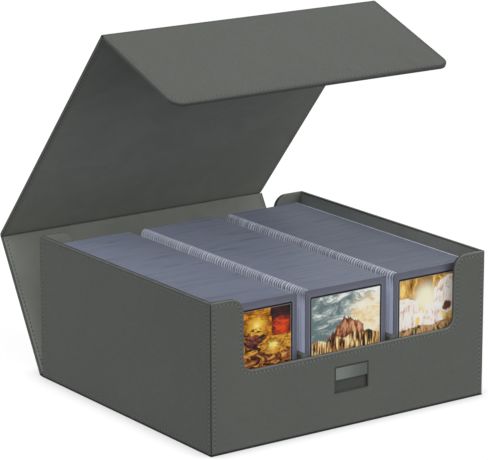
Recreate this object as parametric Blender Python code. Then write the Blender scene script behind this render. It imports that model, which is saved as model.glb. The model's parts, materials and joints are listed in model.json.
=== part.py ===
"""Card storage case: a lined tray with a window front and back, under a wrap-around lid on three folds."""
import math

import bmesh
import bpy
from mathutils import Vector

# Cards, the sleeves they are kept in, and the three rows they stand in
CARD_WIDTH = 0.063
CARD_HEIGHT = 0.088
CARD_THICKNESS = 0.0003
CARD_CORNER = 0.003
CARD_FOOT = 0.0006
SLEEVE_SIDE = 0.004
SLEEVE_HEAD = 0.0054
SLEEVE_WALL = 0.0002
SLEEVE_CORNER = 0.0025
ROW_GAP = 0.0074
RIB_DEPTH = 0.0007

# Room round the rows inside the tray, and the tray's outer depth
SIDE_CLEARANCE = 0.0041
ROW_CLEARANCE = 0.004
HEADROOM = 0.0067
CASE_DEPTH = 0.225

# One make-up for every wall and lid panel: leatherette skin, board and lining, glued in layers
SKIN = 0.0006
BOARD = 0.0012
LINING = 0.0006
FLOOR_BOARD = 0.0046
GLUE_GAP = 0.0003

# Windows in the front and back walls, and the dividers that rise just above their sills
WINDOW_STUB = 0.028
WINDOW_SILL = 0.0566
STUB_TOP_RADIUS = 0.0105
SILL_RADIUS = 0.009
DIVIDER_RISE = 0.0021
DIVIDER_CLEARANCE = 0.0012

# Sunk finger pull with its bare nameplate
PULL_WIDTH = 0.0296
PULL_HEIGHT = 0.0194
PULL_FOOT = 0.026
PULL_RIM = 0.0005
PULL_FLOOR = 0.0004
NAMEPLATE = 0.001

# Flap: how far its free edge stays above the table when closed, and the rounding of its corners
FLAP_FOOT = 0.0148
FLAP_CORNER = 0.0095

# Magnet pairs in the front wall and the flap, placed from the ends and from the flap's free edge
MAGNET_RADIUS = 0.005
MAGNET_INSET = 0.0115
MAGNET_FROM_END = 0.027
MAGNET_SPACING = 0.0535

# How far each fold is turned up from flat: 90 degrees is the closed case
BASE_FOLD_DEG = 60.65
REAR_FOLD_DEG = 69.65
FLAP_FOLD_DEG = 70.14
CLOSED_DEG = 90.0

CORNER_STEPS = 6
SLEEVE_CORNER_STEPS = 2
DISC_STEPS = 20
RIBS_PER_ROW = 40
RIB_SHARES = (0.0, 0.7)
GROOVE_SHARE = 0.85
OVERRUN = 0.001

# Layers of a panel, measured from its outer face
TURN_IN = SKIN + GLUE_GAP
BOARD_INNER = TURN_IN + BOARD
LINING_OUTER = BOARD_INNER + GLUE_GAP
PANEL = LINING_OUTER + LINING

# Heights of the base sheet and the tray's floor
BASE_TOP = TURN_IN + BOARD
WALL_FOOT = BASE_TOP + GLUE_GAP
FLOOR_SKIN_TOP = WALL_FOOT + SKIN
FLOOR_BOARD_FOOT = FLOOR_SKIN_TOP + GLUE_GAP
FLOOR_BOARD_TOP = FLOOR_BOARD_FOOT + FLOOR_BOARD
FLOOR_LINING_FOOT = FLOOR_BOARD_TOP + GLUE_GAP
FLOOR_TOP = FLOOR_LINING_FOOT + LINING

# Sleeves and rows
SLEEVE_WIDTH = CARD_WIDTH + 2 * SLEEVE_SIDE
SLEEVE_HEIGHT = CARD_FOOT + CARD_HEIGHT + SLEEVE_HEAD
FRONT_SLEEVE_DEPTH = SLEEVE_WALL + GLUE_GAP + CARD_THICKNESS + SLEEVE_WALL
ROW_PITCH = SLEEVE_WIDTH + ROW_GAP
ROW_FOOT = FLOOR_TOP + GLUE_GAP

# The tray round them
HALF_WIDTH = ROW_PITCH + SLEEVE_WIDTH / 2 + SIDE_CLEARANCE + PANEL
HALF_DEPTH = CASE_DEPTH / 2
CASE_HEIGHT = ROW_FOOT + SLEEVE_HEIGHT + HEADROOM
ROW_FRONT = -HALF_DEPTH + PANEL + ROW_CLEARANCE
DIVIDER_THICKNESS = ROW_GAP - 2 * DIVIDER_CLEARANCE
DIVIDER_TOP = WINDOW_SILL + DIVIDER_RISE

# The lid round the tray
LID_REACH = HALF_DEPTH + GLUE_GAP + PANEL
LID_TOP = CASE_HEIGHT + GLUE_GAP + PANEL
FOLD_NEAR = SKIN + GLUE_GAP
FOLD_FAR = PANEL + GLUE_GAP
FLAP_LENGTH = LID_TOP - FLAP_FOOT
MAGNET_HEIGHT = FLAP_FOOT + MAGNET_INSET
MAGNET_OUTER_X = HALF_WIDTH - MAGNET_FROM_END
MAGNET_INNER_X = MAGNET_OUTER_X - MAGNET_SPACING
MAGNET_X = (-MAGNET_OUTER_X, -MAGNET_INNER_X, MAGNET_INNER_X, MAGNET_OUTER_X)
ROOT_TWO = math.sqrt(2.0)


def clear_scene():
    """Start from an empty file."""
    for obj in list(bpy.data.objects):
        bpy.data.objects.remove(obj, do_unlink=True)


def make_material(name, colour, roughness, metallic=0.0):
    """A plain Principled material in a linear colour."""
    material = bpy.data.materials.new(name)
    material.use_nodes = True
    shader = material.node_tree.nodes["Principled BSDF"]
    shader.inputs["Base Color"].default_value = (*colour, 1.0)
    shader.inputs["Roughness"].default_value = roughness
    shader.inputs["Metallic"].default_value = metallic
    material.diffuse_color = (*colour, 1.0)
    return material


def make_materials():
    """Every finish on the case."""
    return {
        "leatherette": make_material("leatherette", (0.112, 0.120, 0.107), 0.62),
        "grey_board": make_material("grey_board", (0.30, 0.29, 0.27), 0.9),
        "lining": make_material("lining", (0.072, 0.078, 0.068), 0.95),
        "magnet": make_material("magnet", (0.70, 0.70, 0.70), 0.25, 1.0),
        "nameplate": make_material("nameplate", (0.20, 0.21, 0.20), 0.35, 0.9),
        "sleeve": make_material("sleeve", (0.19, 0.20, 0.27), 0.4),
        "card_warm": make_material("card_warm", (0.62, 0.25, 0.05), 0.5),
        "card_cool": make_material("card_cool", (0.36, 0.38, 0.34), 0.5),
        "card_pale": make_material("card_pale", (0.72, 0.60, 0.40), 0.5),
    }


def arc(centre, radius, start_deg, end_deg, steps=CORNER_STEPS):
    """Points along an arc, both ends included."""
    points = []
    for step in range(steps + 1):
        angle = math.radians(start_deg + (end_deg - start_deg) * step / steps)
        points.append((centre[0] + radius * math.cos(angle), centre[1] + radius * math.sin(angle)))
    return points


def circle(centre, radius):
    """A disc's outline."""
    points = []
    for step in range(DISC_STEPS):
        angle = 2 * math.pi * step / DISC_STEPS
        points.append((centre[0] + radius * math.cos(angle), centre[1] + radius * math.sin(angle)))
    return points


def rectangle(left, right, foot, top):
    """A plain outline."""
    return [(left, foot), (right, foot), (right, top), (left, top)]


def rounded_rectangle(left, right, foot, top, radius):
    """A card's or sleeve's outline, with its four corners rounded."""
    steps = SLEEVE_CORNER_STEPS
    points = arc((left + radius, foot + radius), radius, 180, 270, steps)
    points += arc((right - radius, foot + radius), radius, 270, 360, steps)
    points += arc((right - radius, top - radius), radius, 0, 90, steps)
    points += arc((left + radius, top - radius), radius, 90, 180, steps)
    return points


def loft(name, loops, material):
    """One closed body through loops of equal length, capped at the first and the last."""
    vertices = [point for loop in loops for point in loop]
    count = len(loops[0])
    faces = [tuple(range(count)), tuple(range(len(vertices) - 1, len(vertices) - count - 1, -1))]
    for row in range(len(loops) - 1):
        for i in range(count):
            j = (i + 1) % count
            faces.append((row * count + j, row * count + i, (row + 1) * count + i, (row + 1) * count + j))
    mesh = bpy.data.meshes.new(name)
    mesh.from_pydata([Vector(point) for point in vertices], [], faces)
    mesh.validate()
    mesh.materials.append(material)
    obj = bpy.data.objects.new(name, mesh)
    bpy.context.scene.collection.objects.link(obj)
    return obj


def add_cutter(name, loops, target):
    """A hidden shape cut out of the target."""
    cutter = loft(name, loops, target.data.materials[0])
    cutter.parent = target.parent
    cutter.matrix_basis = target.matrix_basis.copy()
    cutter.hide_render = True
    cutter.display_type = "WIRE"
    modifier = target.modifiers.new(name, "BOOLEAN")
    modifier.operation = "DIFFERENCE"
    modifier.object = cutter


def wall_outline(half_length, depth, inset, window):
    """A tray wall's outline at one depth: mitred ends, and a window where the wall has one."""
    end = half_length - depth - GLUE_GAP - inset * ROOT_TWO
    top = CASE_HEIGHT - inset
    foot = WALL_FOOT + inset
    if not window:
        return rectangle(-end, end, foot, top)
    jamb = half_length - WINDOW_STUB
    stub_centre = (jamb + STUB_TOP_RADIUS, CASE_HEIGHT - STUB_TOP_RADIUS)
    sill_centre = (jamb - SILL_RADIUS, WINDOW_SILL + SILL_RADIUS)
    right = arc(stub_centre, STUB_TOP_RADIUS - inset, 90, 180)
    right += arc(sill_centre, SILL_RADIUS + inset, 360, 270)
    left = [(-u, v) for u, v in reversed(right)]
    return [(-end, foot), (end, foot), (end, top), *right, *left, (-end, top)]


def wall_loop(half_reach, half_length, depth, inset, window):
    """The outline at one depth behind the wall's outer face, as 3-D points."""
    return [(u, depth - half_reach, v) for u, v in wall_outline(half_length, depth, inset, window)]


def build_wall(side, turn_deg, half_reach, half_length, window, materials):
    """Skin, board and lining of one tray wall."""
    turn = math.radians(turn_deg)

    def at(depth, inset):
        return wall_loop(half_reach, half_length, depth, inset, window)

    skin_loops = [at(0, 0), at(PANEL, 0), at(PANEL, SKIN), at(SKIN, SKIN)]
    skin = loft(side + "_wall_skin", skin_loops, materials["leatherette"])
    board_loops = [at(TURN_IN, TURN_IN), at(BOARD_INNER, TURN_IN)]
    board = loft(side + "_wall_board", board_loops, materials["grey_board"])
    lining_loops = [at(LINING_OUTER, TURN_IN), at(PANEL, TURN_IN)]
    lining = loft(side + "_wall_lining", lining_loops, materials["lining"])
    for obj in (skin, board, lining):
        obj.rotation_euler.z = turn
    return skin, board, lining


def front_loop(outline, depth):
    """An outline on the front wall, at a depth behind its outer face."""
    return [(x, depth - HALF_DEPTH, z) for x, z in outline]


def build_front_hardware(skin, board, materials):
    """The sunk finger pull with its nameplate, and the four magnets behind the skin."""
    half = PULL_WIDTH / 2
    top = PULL_FOOT + PULL_HEIGHT
    middle = PULL_FOOT + PULL_HEIGHT / 2
    hole = rectangle(-half - GLUE_GAP, half + GLUE_GAP, PULL_FOOT - GLUE_GAP, top + GLUE_GAP)
    hole_loops = [front_loop(hole, -OVERRUN), front_loop(hole, BOARD_INNER + OVERRUN)]
    add_cutter("pull_hole_in_skin", hole_loops, skin)
    add_cutter("pull_hole_in_board", hole_loops, board)

    plate_back = NAMEPLATE + GLUE_GAP
    liner_outline = rectangle(-half, half, PULL_FOOT, top)
    liner_loops = [front_loop(liner_outline, depth) for depth in (0, BOARD_INNER)]
    liner = loft("finger_pull_liner", liner_loops, materials["leatherette"])
    low = rectangle(-half + PULL_RIM, half - PULL_RIM, PULL_FOOT + PULL_RIM, middle)
    seat = rectangle(-half + PULL_RIM, half - PULL_RIM, middle - PULL_RIM, top - PULL_RIM)
    add_cutter("finger_hollow", [front_loop(low, d) for d in (-OVERRUN, BOARD_INNER - PULL_FLOOR)], liner)
    add_cutter("nameplate_seat", [front_loop(seat, d) for d in (-OVERRUN, plate_back)], liner)
    edge = PULL_RIM + GLUE_GAP
    plate = rectangle(-half + edge, half - edge, middle, top - edge)
    loft("nameplate", [front_loop(plate, d) for d in (0, NAMEPLATE)], materials["nameplate"])

    for number, x in enumerate(MAGNET_X, 1):
        centre = (x, MAGNET_HEIGHT)
        hole = circle(centre, MAGNET_RADIUS + GLUE_GAP)
        hole_loops = [front_loop(hole, depth) for depth in (TURN_IN - OVERRUN, BOARD_INNER + OVERRUN)]
        add_cutter("tray_magnet_hole_%d" % number, hole_loops, board)
        disc = [front_loop(circle(centre, MAGNET_RADIUS), depth) for depth in (TURN_IN, BOARD_INNER)]
        loft("tray_magnet_%d" % number, disc, materials["magnet"])


def flat_loop(half_width, half_depth, height):
    """A level rectangle centred on the tray."""
    return [(x, y, height) for x, y in rectangle(-half_width, half_width, -half_depth, half_depth)]


def build_base(materials):
    """The cover's base sheet under the tray, its board, and the tray's floor."""
    skin_loops = [flat_loop(HALF_WIDTH, HALF_DEPTH, 0), flat_loop(HALF_WIDTH, HALF_DEPTH, BASE_TOP)]
    skin_loops += [flat_loop(HALF_WIDTH - SKIN, HALF_DEPTH - SKIN, z) for z in (BASE_TOP, SKIN)]
    loft("base_skin", skin_loops, materials["leatherette"])
    board_loops = [flat_loop(HALF_WIDTH - TURN_IN, HALF_DEPTH - TURN_IN, z) for z in (TURN_IN, BASE_TOP)]
    loft("base_board", board_loops, materials["grey_board"])

    half_x = HALF_WIDTH - PANEL - GLUE_GAP
    half_y = HALF_DEPTH - PANEL - GLUE_GAP
    layers = (("floor_skin", WALL_FOOT, FLOOR_SKIN_TOP, "leatherette"),
              ("floor_board", FLOOR_BOARD_FOOT, FLOOR_BOARD_TOP, "grey_board"),
              ("floor_lining", FLOOR_LINING_FOOT, FLOOR_TOP, "lining"))
    for name, foot, top, finish in layers:
        loft(name, [flat_loop(half_x, half_y, z) for z in (foot, top)], materials[finish])


def upright_loop(centre_x, half_width, foot, top, corner, y):
    """A standing rounded rectangle across the tray at one depth."""
    outline = rounded_rectangle(centre_x - half_width, centre_x + half_width, foot, top, corner)
    return [(x, y, z) for x, z in outline]


def build_dividers(materials):
    """Two low boards in leatherette sleeves, one between each pair of rows."""
    half_length = HALF_DEPTH - PANEL - GLUE_GAP
    foot = FLOOR_TOP + GLUE_GAP
    for side, centre in (("left", -ROW_PITCH / 2), ("right", ROW_PITCH / 2)):
        half = DIVIDER_THICKNESS / 2
        inner = half - SKIN
        core = inner - GLUE_GAP
        skin_top = DIVIDER_TOP - SKIN
        outline = [(-half, foot), (-inner, foot), (-inner, skin_top), (inner, skin_top), (inner, foot),
                   (half, foot), (half, DIVIDER_TOP), (-half, DIVIDER_TOP)]
        loops = [[(centre + u, y, v) for u, v in outline] for y in (-half_length, half_length)]
        loft("divider_skin_" + side, loops, materials["leatherette"])
        board = rectangle(-core, core, foot, skin_top - GLUE_GAP)
        loops = [[(centre + u, y, v) for u, v in board] for y in (-half_length, half_length)]
        loft("divider_board_" + side, loops, materials["grey_board"])


def build_card_row(name, centre_x, finish, materials):
    """A row of sleeved cards as a ribbed block, with its first sleeve and card in front."""
    half = SLEEVE_WIDTH / 2
    foot = ROW_FOOT
    top = ROW_FOOT + SLEEVE_HEIGHT
    start = ROW_FRONT + FRONT_SLEEVE_DEPTH + GLUE_GAP
    end = HALF_DEPTH - PANEL - ROW_CLEARANCE
    rib = (end - start) / RIBS_PER_ROW
    inner = SLEEVE_CORNER - RIB_DEPTH
    loops = []
    for number in range(RIBS_PER_ROW):
        y = start + rib * number
        for share in RIB_SHARES:
            loops.append(upright_loop(centre_x, half, foot, top, SLEEVE_CORNER, y + rib * share))
        if number < RIBS_PER_ROW - 1:
            loops.append(upright_loop(centre_x, half - RIB_DEPTH, foot + RIB_DEPTH, top - RIB_DEPTH,
                                      inner, y + rib * GROOVE_SHARE))
    loops.append(upright_loop(centre_x, half, foot, top, SLEEVE_CORNER, end))
    loft("sleeved_cards_" + name, loops, materials["sleeve"])

    card_half = CARD_WIDTH / 2
    card_foot = foot + CARD_FOOT
    card_top = card_foot + CARD_HEIGHT
    pocket = SLEEVE_WALL + GLUE_GAP
    back = ROW_FRONT + FRONT_SLEEVE_DEPTH
    fit_half = card_half + GLUE_GAP
    fit_corner = CARD_CORNER + GLUE_GAP
    loops = [upright_loop(centre_x, half, foot, top, SLEEVE_CORNER, y) for y in (back, ROW_FRONT)]
    for y in (ROW_FRONT, back - SLEEVE_WALL):
        loops.append(upright_loop(centre_x, fit_half, card_foot - GLUE_GAP, card_top + GLUE_GAP, fit_corner, y))
    loft("front_sleeve_" + name, loops, materials["sleeve"])
    card_back = back - pocket
    loops = [upright_loop(centre_x, card_half, card_foot, card_top, CARD_CORNER, y)
             for y in (card_back, card_back - CARD_THICKNESS)]
    loft("front_card_" + name, loops, materials[finish])


def add_fold(name, parent, location, turn_deg):
    """An empty on a fold's axis, which carries everything beyond the fold."""
    empty = bpy.data.objects.new(name, None)
    empty.empty_display_type = "ARROWS"
    empty.location = location
    empty.rotation_euler.x = math.radians(turn_deg)
    empty.parent = parent
    bpy.context.scene.collection.objects.link(empty)
    return empty


def lid_loop(outline, depth):
    """An outline on a lid panel, at a depth below its outer face."""
    return [(u, -depth, v) for u, v in outline]


def lid_outline(start, end, inset, corner):
    """A lid panel's outline, with its far corners rounded on the flap."""
    edge = HALF_WIDTH - inset
    foot = start + inset
    top = end - inset
    if not corner:
        return rectangle(-edge, edge, foot, top)
    radius = corner - inset
    points = [(-edge, foot), (edge, foot)]
    points += arc((edge - radius, top - radius), radius, 0, 90)
    points += arc((radius - edge, top - radius), radius, 90, 180)
    return points


def build_lid_panel(name, fold, start, end, corner, materials):
    """Skin, board and lining of one lid panel, measured from the fold that carries it."""
    def at(depth, inset):
        return lid_loop(lid_outline(start, end, inset, corner), depth)

    skin_loops = [at(0, 0), at(PANEL, 0), at(PANEL, SKIN), at(SKIN, SKIN)]
    skin = loft(name + "_skin", skin_loops, materials["leatherette"])
    board_loops = [at(TURN_IN, TURN_IN), at(BOARD_INNER, TURN_IN)]
    board = loft(name + "_board", board_loops, materials["grey_board"])
    lining_loops = [at(LINING_OUTER, TURN_IN), at(PANEL, TURN_IN)]
    lining = loft(name + "_lining", lining_loops, materials["lining"])
    for obj in (skin, board, lining):
        obj.parent = fold
    return board


def build_fold_strip(name, fold, start, end, materials):
    """The bare stretch of skin that bends at a fold."""
    outline = rectangle(-HALF_WIDTH, HALF_WIDTH, start, end)
    strip = loft(name, [lid_loop(outline, depth) for depth in (0, SKIN)], materials["leatherette"])
    strip.parent = fold
    return strip


def build_flap_magnets(fold, board, materials):
    """Four discs in the flap's board, which meet the tray's magnets when the case is closed."""
    height = FLAP_LENGTH - MAGNET_INSET
    for number, x in enumerate(MAGNET_X, 1):
        hole = circle((x, height), MAGNET_RADIUS + GLUE_GAP)
        hole_loops = [lid_loop(hole, depth) for depth in (TURN_IN - OVERRUN, BOARD_INNER + OVERRUN)]
        add_cutter("flap_magnet_hole_%d" % number, hole_loops, board)
        disc = circle((x, height), MAGNET_RADIUS)
        loops = [lid_loop(disc, depth) for depth in (TURN_IN, BOARD_INNER)]
        magnet = loft("flap_magnet_%d" % number, loops, materials["magnet"])
        magnet.parent = fold


def build_lid(materials):
    """Rear panel, top panel and flap, each on the fold before it."""
    base_fold = add_fold("base_fold", None, (0, LID_REACH, 0), BASE_FOLD_DEG - CLOSED_DEG)
    rear_fold = add_fold("rear_fold", base_fold, (0, 0, LID_TOP), REAR_FOLD_DEG)
    top_length = 2 * LID_REACH
    flap_fold = add_fold("flap_fold", rear_fold, (0, 0, top_length), FLAP_FOLD_DEG)

    build_lid_panel("rear_panel", base_fold, FOLD_NEAR, LID_TOP - FOLD_FAR, 0, materials)
    build_lid_panel("top_panel", rear_fold, FOLD_NEAR, top_length - FOLD_NEAR, 0, materials)
    flap_board = build_lid_panel("front_flap", flap_fold, FOLD_FAR, FLAP_LENGTH, FLAP_CORNER, materials)
    build_flap_magnets(flap_fold, flap_board, materials)

    base_strip = rectangle(-HALF_WIDTH, HALF_WIDTH, HALF_DEPTH + GLUE_GAP, LID_REACH - GLUE_GAP)
    loft("base_fold_strip", [[(x, y, z) for x, y in base_strip] for z in (0, SKIN)], materials["leatherette"])
    build_fold_strip("rear_fold_strip", base_fold, LID_TOP - FOLD_FAR + GLUE_GAP, LID_TOP - GLUE_GAP, materials)
    build_fold_strip("flap_fold_strip", flap_fold, GLUE_GAP, FOLD_FAR - GLUE_GAP, materials)


def recalculate_normals():
    """Turn every body's faces outwards."""
    for obj in bpy.data.objects:
        if obj.type != "MESH":
            continue
        bm = bmesh.new()
        bm.from_mesh(obj.data)
        bmesh.ops.recalc_face_normals(bm, faces=bm.faces)
        bm.to_mesh(obj.data)
        bm.free()


def main():
    """Build the whole case with its lid at the half-open pose."""
    clear_scene()
    materials = make_materials()
    build_base(materials)
    skin, board, _ = build_wall("front", 0, HALF_DEPTH, HALF_WIDTH, True, materials)
    build_wall("back", 180, HALF_DEPTH, HALF_WIDTH, True, materials)
    build_wall("left", -90, HALF_WIDTH, HALF_DEPTH, False, materials)
    build_wall("right", 90, HALF_WIDTH, HALF_DEPTH, False, materials)
    build_front_hardware(skin, board, materials)
    build_dividers(materials)
    for name, place, finish in (("left", -1, "card_warm"), ("centre", 0, "card_cool"), ("right", 1, "card_pale")):
        build_card_row(name, place * ROW_PITCH, finish, materials)
    build_lid(materials)
    recalculate_normals()


main()
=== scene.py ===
"""Card storage case, dressed: the leatherette wrap with its seams, the suede lining, the folds, the sleeved cards."""
import json
import math
import random

import bmesh
import bpy
from bpy.props import FloatProperty, FloatVectorProperty, PointerProperty
from bpy.types import Operator, Panel, PropertyGroup
from mathutils import Matrix, Vector


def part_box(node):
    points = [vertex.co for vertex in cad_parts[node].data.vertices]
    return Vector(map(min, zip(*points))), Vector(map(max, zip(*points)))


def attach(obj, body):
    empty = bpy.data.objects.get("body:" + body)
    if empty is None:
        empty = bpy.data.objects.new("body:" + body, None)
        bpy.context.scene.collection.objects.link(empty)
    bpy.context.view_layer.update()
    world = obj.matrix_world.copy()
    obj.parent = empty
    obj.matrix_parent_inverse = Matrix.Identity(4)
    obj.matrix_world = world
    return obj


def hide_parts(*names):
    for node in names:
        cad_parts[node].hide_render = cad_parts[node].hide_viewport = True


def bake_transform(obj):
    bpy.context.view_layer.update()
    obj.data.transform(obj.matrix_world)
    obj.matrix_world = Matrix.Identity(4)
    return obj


bl_info = {
    "name": "Card storage case",
    "version": (1, 0, 0),
    "blender": (4, 5, 0),
    "location": "View3D > Sidebar > Card case",
    "description": "Dresses a leatherette card storage case with a wrap-around lid and three rows of sleeved cards",
    "category": "Object",
}

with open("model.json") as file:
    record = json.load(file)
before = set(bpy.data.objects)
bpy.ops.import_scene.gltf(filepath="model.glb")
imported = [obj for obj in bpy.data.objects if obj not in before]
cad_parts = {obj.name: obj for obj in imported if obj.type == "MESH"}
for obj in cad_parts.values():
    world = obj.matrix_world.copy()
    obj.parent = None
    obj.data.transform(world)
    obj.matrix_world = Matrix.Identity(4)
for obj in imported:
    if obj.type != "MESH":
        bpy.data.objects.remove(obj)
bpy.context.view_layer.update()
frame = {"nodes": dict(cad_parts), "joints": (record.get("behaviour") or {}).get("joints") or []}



def extent(node):
    """How long a CAD node is along each axis."""
    low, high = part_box(node)
    return high - low


# The tray, read from the frame
HALF_WIDTH, HALF_DEPTH, BASE_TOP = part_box("base_skin")[1]
CASE_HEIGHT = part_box("front_wall_skin")[1].z
PANEL = extent("front_wall_skin").y
SKIN = extent("floor_skin").z
LINING = extent("floor_lining").z
TURN_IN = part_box("base_board")[0].z
GAP = TURN_IN - SKIN
ROOT_TWO = math.sqrt(2.0)

# The lid: its fold lines, the turn of each panel, and the stretch of bare skin on each side of a fold
JOINTS = {joint["name"]: joint for joint in frame["joints"]}
FOLDS = {name: Vector(joint["pos_m"]) for name, joint in JOINTS.items()}
TO_CLOSED = {name: math.radians(joint["range_deg"][1]) for name, joint in JOINTS.items()}
REAR_TURN = -TO_CLOSED["base_fold"]
TOP_TURN = REAR_TURN + math.pi / 2 - TO_CLOSED["rear_fold"]
FLAP_TURN = TOP_TURN + math.pi / 2 - TO_CLOSED["flap_fold"]
REAR_LENGTH = (FOLDS["rear_fold"] - FOLDS["base_fold"]).length
TOP_LENGTH = (FOLDS["flap_fold"] - FOLDS["rear_fold"]).length
FLAP_LENGTH = (FOLDS["flap_fold"].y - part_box("front_flap_skin")[0].y) / math.sin(FLAP_TURN)
FOLD_NEAR = TURN_IN
FOLD_FAR = PANEL + GAP

# The rows of cards with the finish of each one's front card, and how many sleeves stand together in a bundle
ROWS = {"left": "card_warm", "centre": "card_cool", "right": "card_pale"}
BUNDLES = (3, 4, 4, 4, 5)

# An edge sharper than this stays sharp
SHARP = math.radians(38)
WHITE = (1.0, 1.0, 1.0)
BLACK = (0.0, 0.0, 0.0)


def size(name, description, default):
    """A length that a user may change."""
    return FloatProperty(name=name, description=description, default=default, min=0.0, unit="LENGTH", precision=5)


def tint(name, description, default):
    """A linear colour that a user may change."""
    return FloatVectorProperty(name=name, description=description, default=default, min=0.0, max=1.0,
                               size=3, subtype="COLOR")


def turn(name, description, degrees):
    """An angle that a user may change."""
    return FloatProperty(name=name, description=description, default=math.radians(degrees), unit="ROTATION")


def amount(name, description, default):
    """A plain number that a user may change."""
    return FloatProperty(name=name, description=description, default=default, min=0.0)


def by_row(name, description, default, least=0.0, most=1.0):
    """A number for each row of cards that a user may change."""
    return FloatVectorProperty(name=name, description=description, default=default, min=least, max=most, size=3)


class CARDCASE_PG_stage(PropertyGroup):
    """Camera, lamps and floor."""
    azimuth: turn("Azimuth", "Camera angle round the case, from the front", -35.049)
    elevation: turn("Elevation", "Camera angle above the table", 14.563)
    roll: turn("Roll", "Camera tilt about its own axis", -0.114)
    distance: size("Distance", "From the camera to the point that it looks at", 2.01898)
    target: FloatVectorProperty(name="Target", description="Point that the camera looks at", size=3,
                                default=(-0.014057, 0.0, 0.121817), subtype="XYZ", unit="LENGTH")
    lens: FloatProperty(name="Lens", description="Focal length", default=203.841, unit="CAMERA")
    ambient: amount("Ambient", "Strength of the even light from all round", 0.03)
    key: amount("Key", "Strength of the soft lamp on the left", 1.58)
    key_azimuth: turn("Key azimuth", "Where the key lamp stands, from the front", -55.0)
    key_elevation: turn("Key elevation", "How high the key lamp stands", 52.0)
    fill: amount("Fill", "Strength of the soft lamp in front", 0.58)
    fill_azimuth: turn("Fill azimuth", "Where the front lamp stands, from the front", 15.0)
    fill_elevation: turn("Fill elevation", "How high the front lamp stands", 28.0)
    side: amount("Side", "Strength of the soft lamp on the right", 0.88)
    side_azimuth: turn("Side azimuth", "Where the right-hand lamp stands, from the front", 40.0)
    side_elevation: turn("Side elevation", "How high the right-hand lamp stands", 28.0)
    spread: turn("Spread", "How broad each lamp looks from the case", 60.0)
    floor_colour: tint("Floor", "Pale floor, as it lights the case", (0.30, 0.30, 0.30))
    floor_shade: tint("Floor shade", "How much of the shadow the floor shows", (0.15, 0.15, 0.15))
    # Contact: a painted contact shadow, dimming the floor's glow beside the case
    contact: amount("Contact", "How much darker the floor is right beside the case", 0.34)
    floor_glow: amount("Floor glow", "Lift that makes the open floor white to the camera", 0.93)


class CARDCASE_PG_wrap(PropertyGroup):
    """The leatherette wrap and its seams."""
    colour: tint("Colour", "Leatherette", (0.088, 0.095, 0.084))
    # Paler edges of the wrap: partly wear, partly painted highlight on edges that catch the light
    rubbed: tint("Rubbed", "Leatherette where an edge is rubbed", (0.215, 0.228, 0.205))
    # Rim: the colour of painted shade, which the shade mark lays on turned edges, corners and seam lines
    rim: tint("Rim", "Leatherette where it is most stretched round a panel", (0.0116, 0.0114, 0.0113))
    # How far the painted shade of the lid's edges reaches onto the outside face
    lip: size("Lip", "How far the stretched leather of the lid's edges shows on the outside", 0.0006)
    # Near-black base edge: edge paint, and painted shade of the line where the case meets the floor
    edge_paint: tint("Edge paint", "Painted cut edge of the base sheet", (0.010, 0.011, 0.010))
    grain: size("Grain", "Width of one pebble of the grain", 0.0011)
    edge_radius: size("Edge radius", "Rounding of a wrapped edge of the tray, on the outside", 0.0006)
    lid_edge_radius: size("Lid edge radius", "Rounding of a wrapped edge of the lid, on the outside", 0.0007)
    inner_radius: size("Inner radius", "Rounding of a wrapped edge on the inside", 0.00045)
    seam_inset: size("Seam inset", "From an edge of the front or back wall to its seam", 0.0028)
    side_seam_inset: size("Side seam inset", "From an edge of a side wall to its seam", 0.0028)
    lid_seam_inset: size("Lid seam inset", "From an edge of the lid to its seam", 0.0029)
    groove_width: size("Groove width", "Width of the pressed line under a seam", 0.0010)
    groove_depth: size("Groove depth", "Depth of the pressed line under a seam", 0.00012)
    stitch_pitch: size("Stitch pitch", "From one stitch to the next", 0.0033)
    stitch_gap: size("Stitch gap", "Bare needle hole between two stitches", 0.0015)
    thread: size("Thread", "Thickness of the thread", 0.00068)
    thread_colour: tint("Thread colour", "Thread", (0.208, 0.219, 0.199))
    # Painted shade in the needle holes, on dark ovals and where the thread dives
    hole_colour: tint("Hole colour", "Needle holes", (0.020, 0.021, 0.019))
    fold_skin: size("Fold skin", "Leatherette alone, where it bends at a fold", 0.00035)


class CARDCASE_PG_tray(PropertyGroup):
    """The tray's walls, base and dividers."""
    base_rim: size("Base rim", "Height of the base sheet's painted edge", 0.0009)
    wall_foot: size("Wall foot", "Height at which the walls' wrap ends", 0.00115)
    window_stub: size("Window stub", "Wall left standing beside a window", 0.028)
    window_sill: size("Window sill", "Height of a window's sill", 0.0566)
    stub_radius: size("Stub radius", "Rounding at the top of a stub", 0.0105)
    sill_radius: size("Sill radius", "Rounding at the ends of a sill", 0.0078)
    divider_radius: size("Divider radius", "Rounding along the top of a divider", 0.0012)
    magnet_mark: size("Magnet mark", "Radius of the swelling over a magnet", 0.0062)
    magnet_swell: size("Magnet swell", "Height of the swelling over a magnet", 0.00014)


class CARDCASE_PG_lid(PropertyGroup):
    """The lid's flap and the suede lining of lid and tray."""
    flap_corner: size("Flap corner", "Rounding of the flap's free corners", 0.0095)
    suede: tint("Suede", "Brushed lining", (0.285, 0.299, 0.268))
    suede_brushed: tint("Suede brushed", "Lining where the nap lies the other way", (0.330, 0.346, 0.310))
    patch: size("Patch", "Width of a brushed patch", 0.034)
    suede_radius: size("Suede radius", "Rounding of the lining's edge", 0.0003)
    suede_rise: size("Suede rise", "How far the lining stands above the rim round it", 0.00005)


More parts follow.
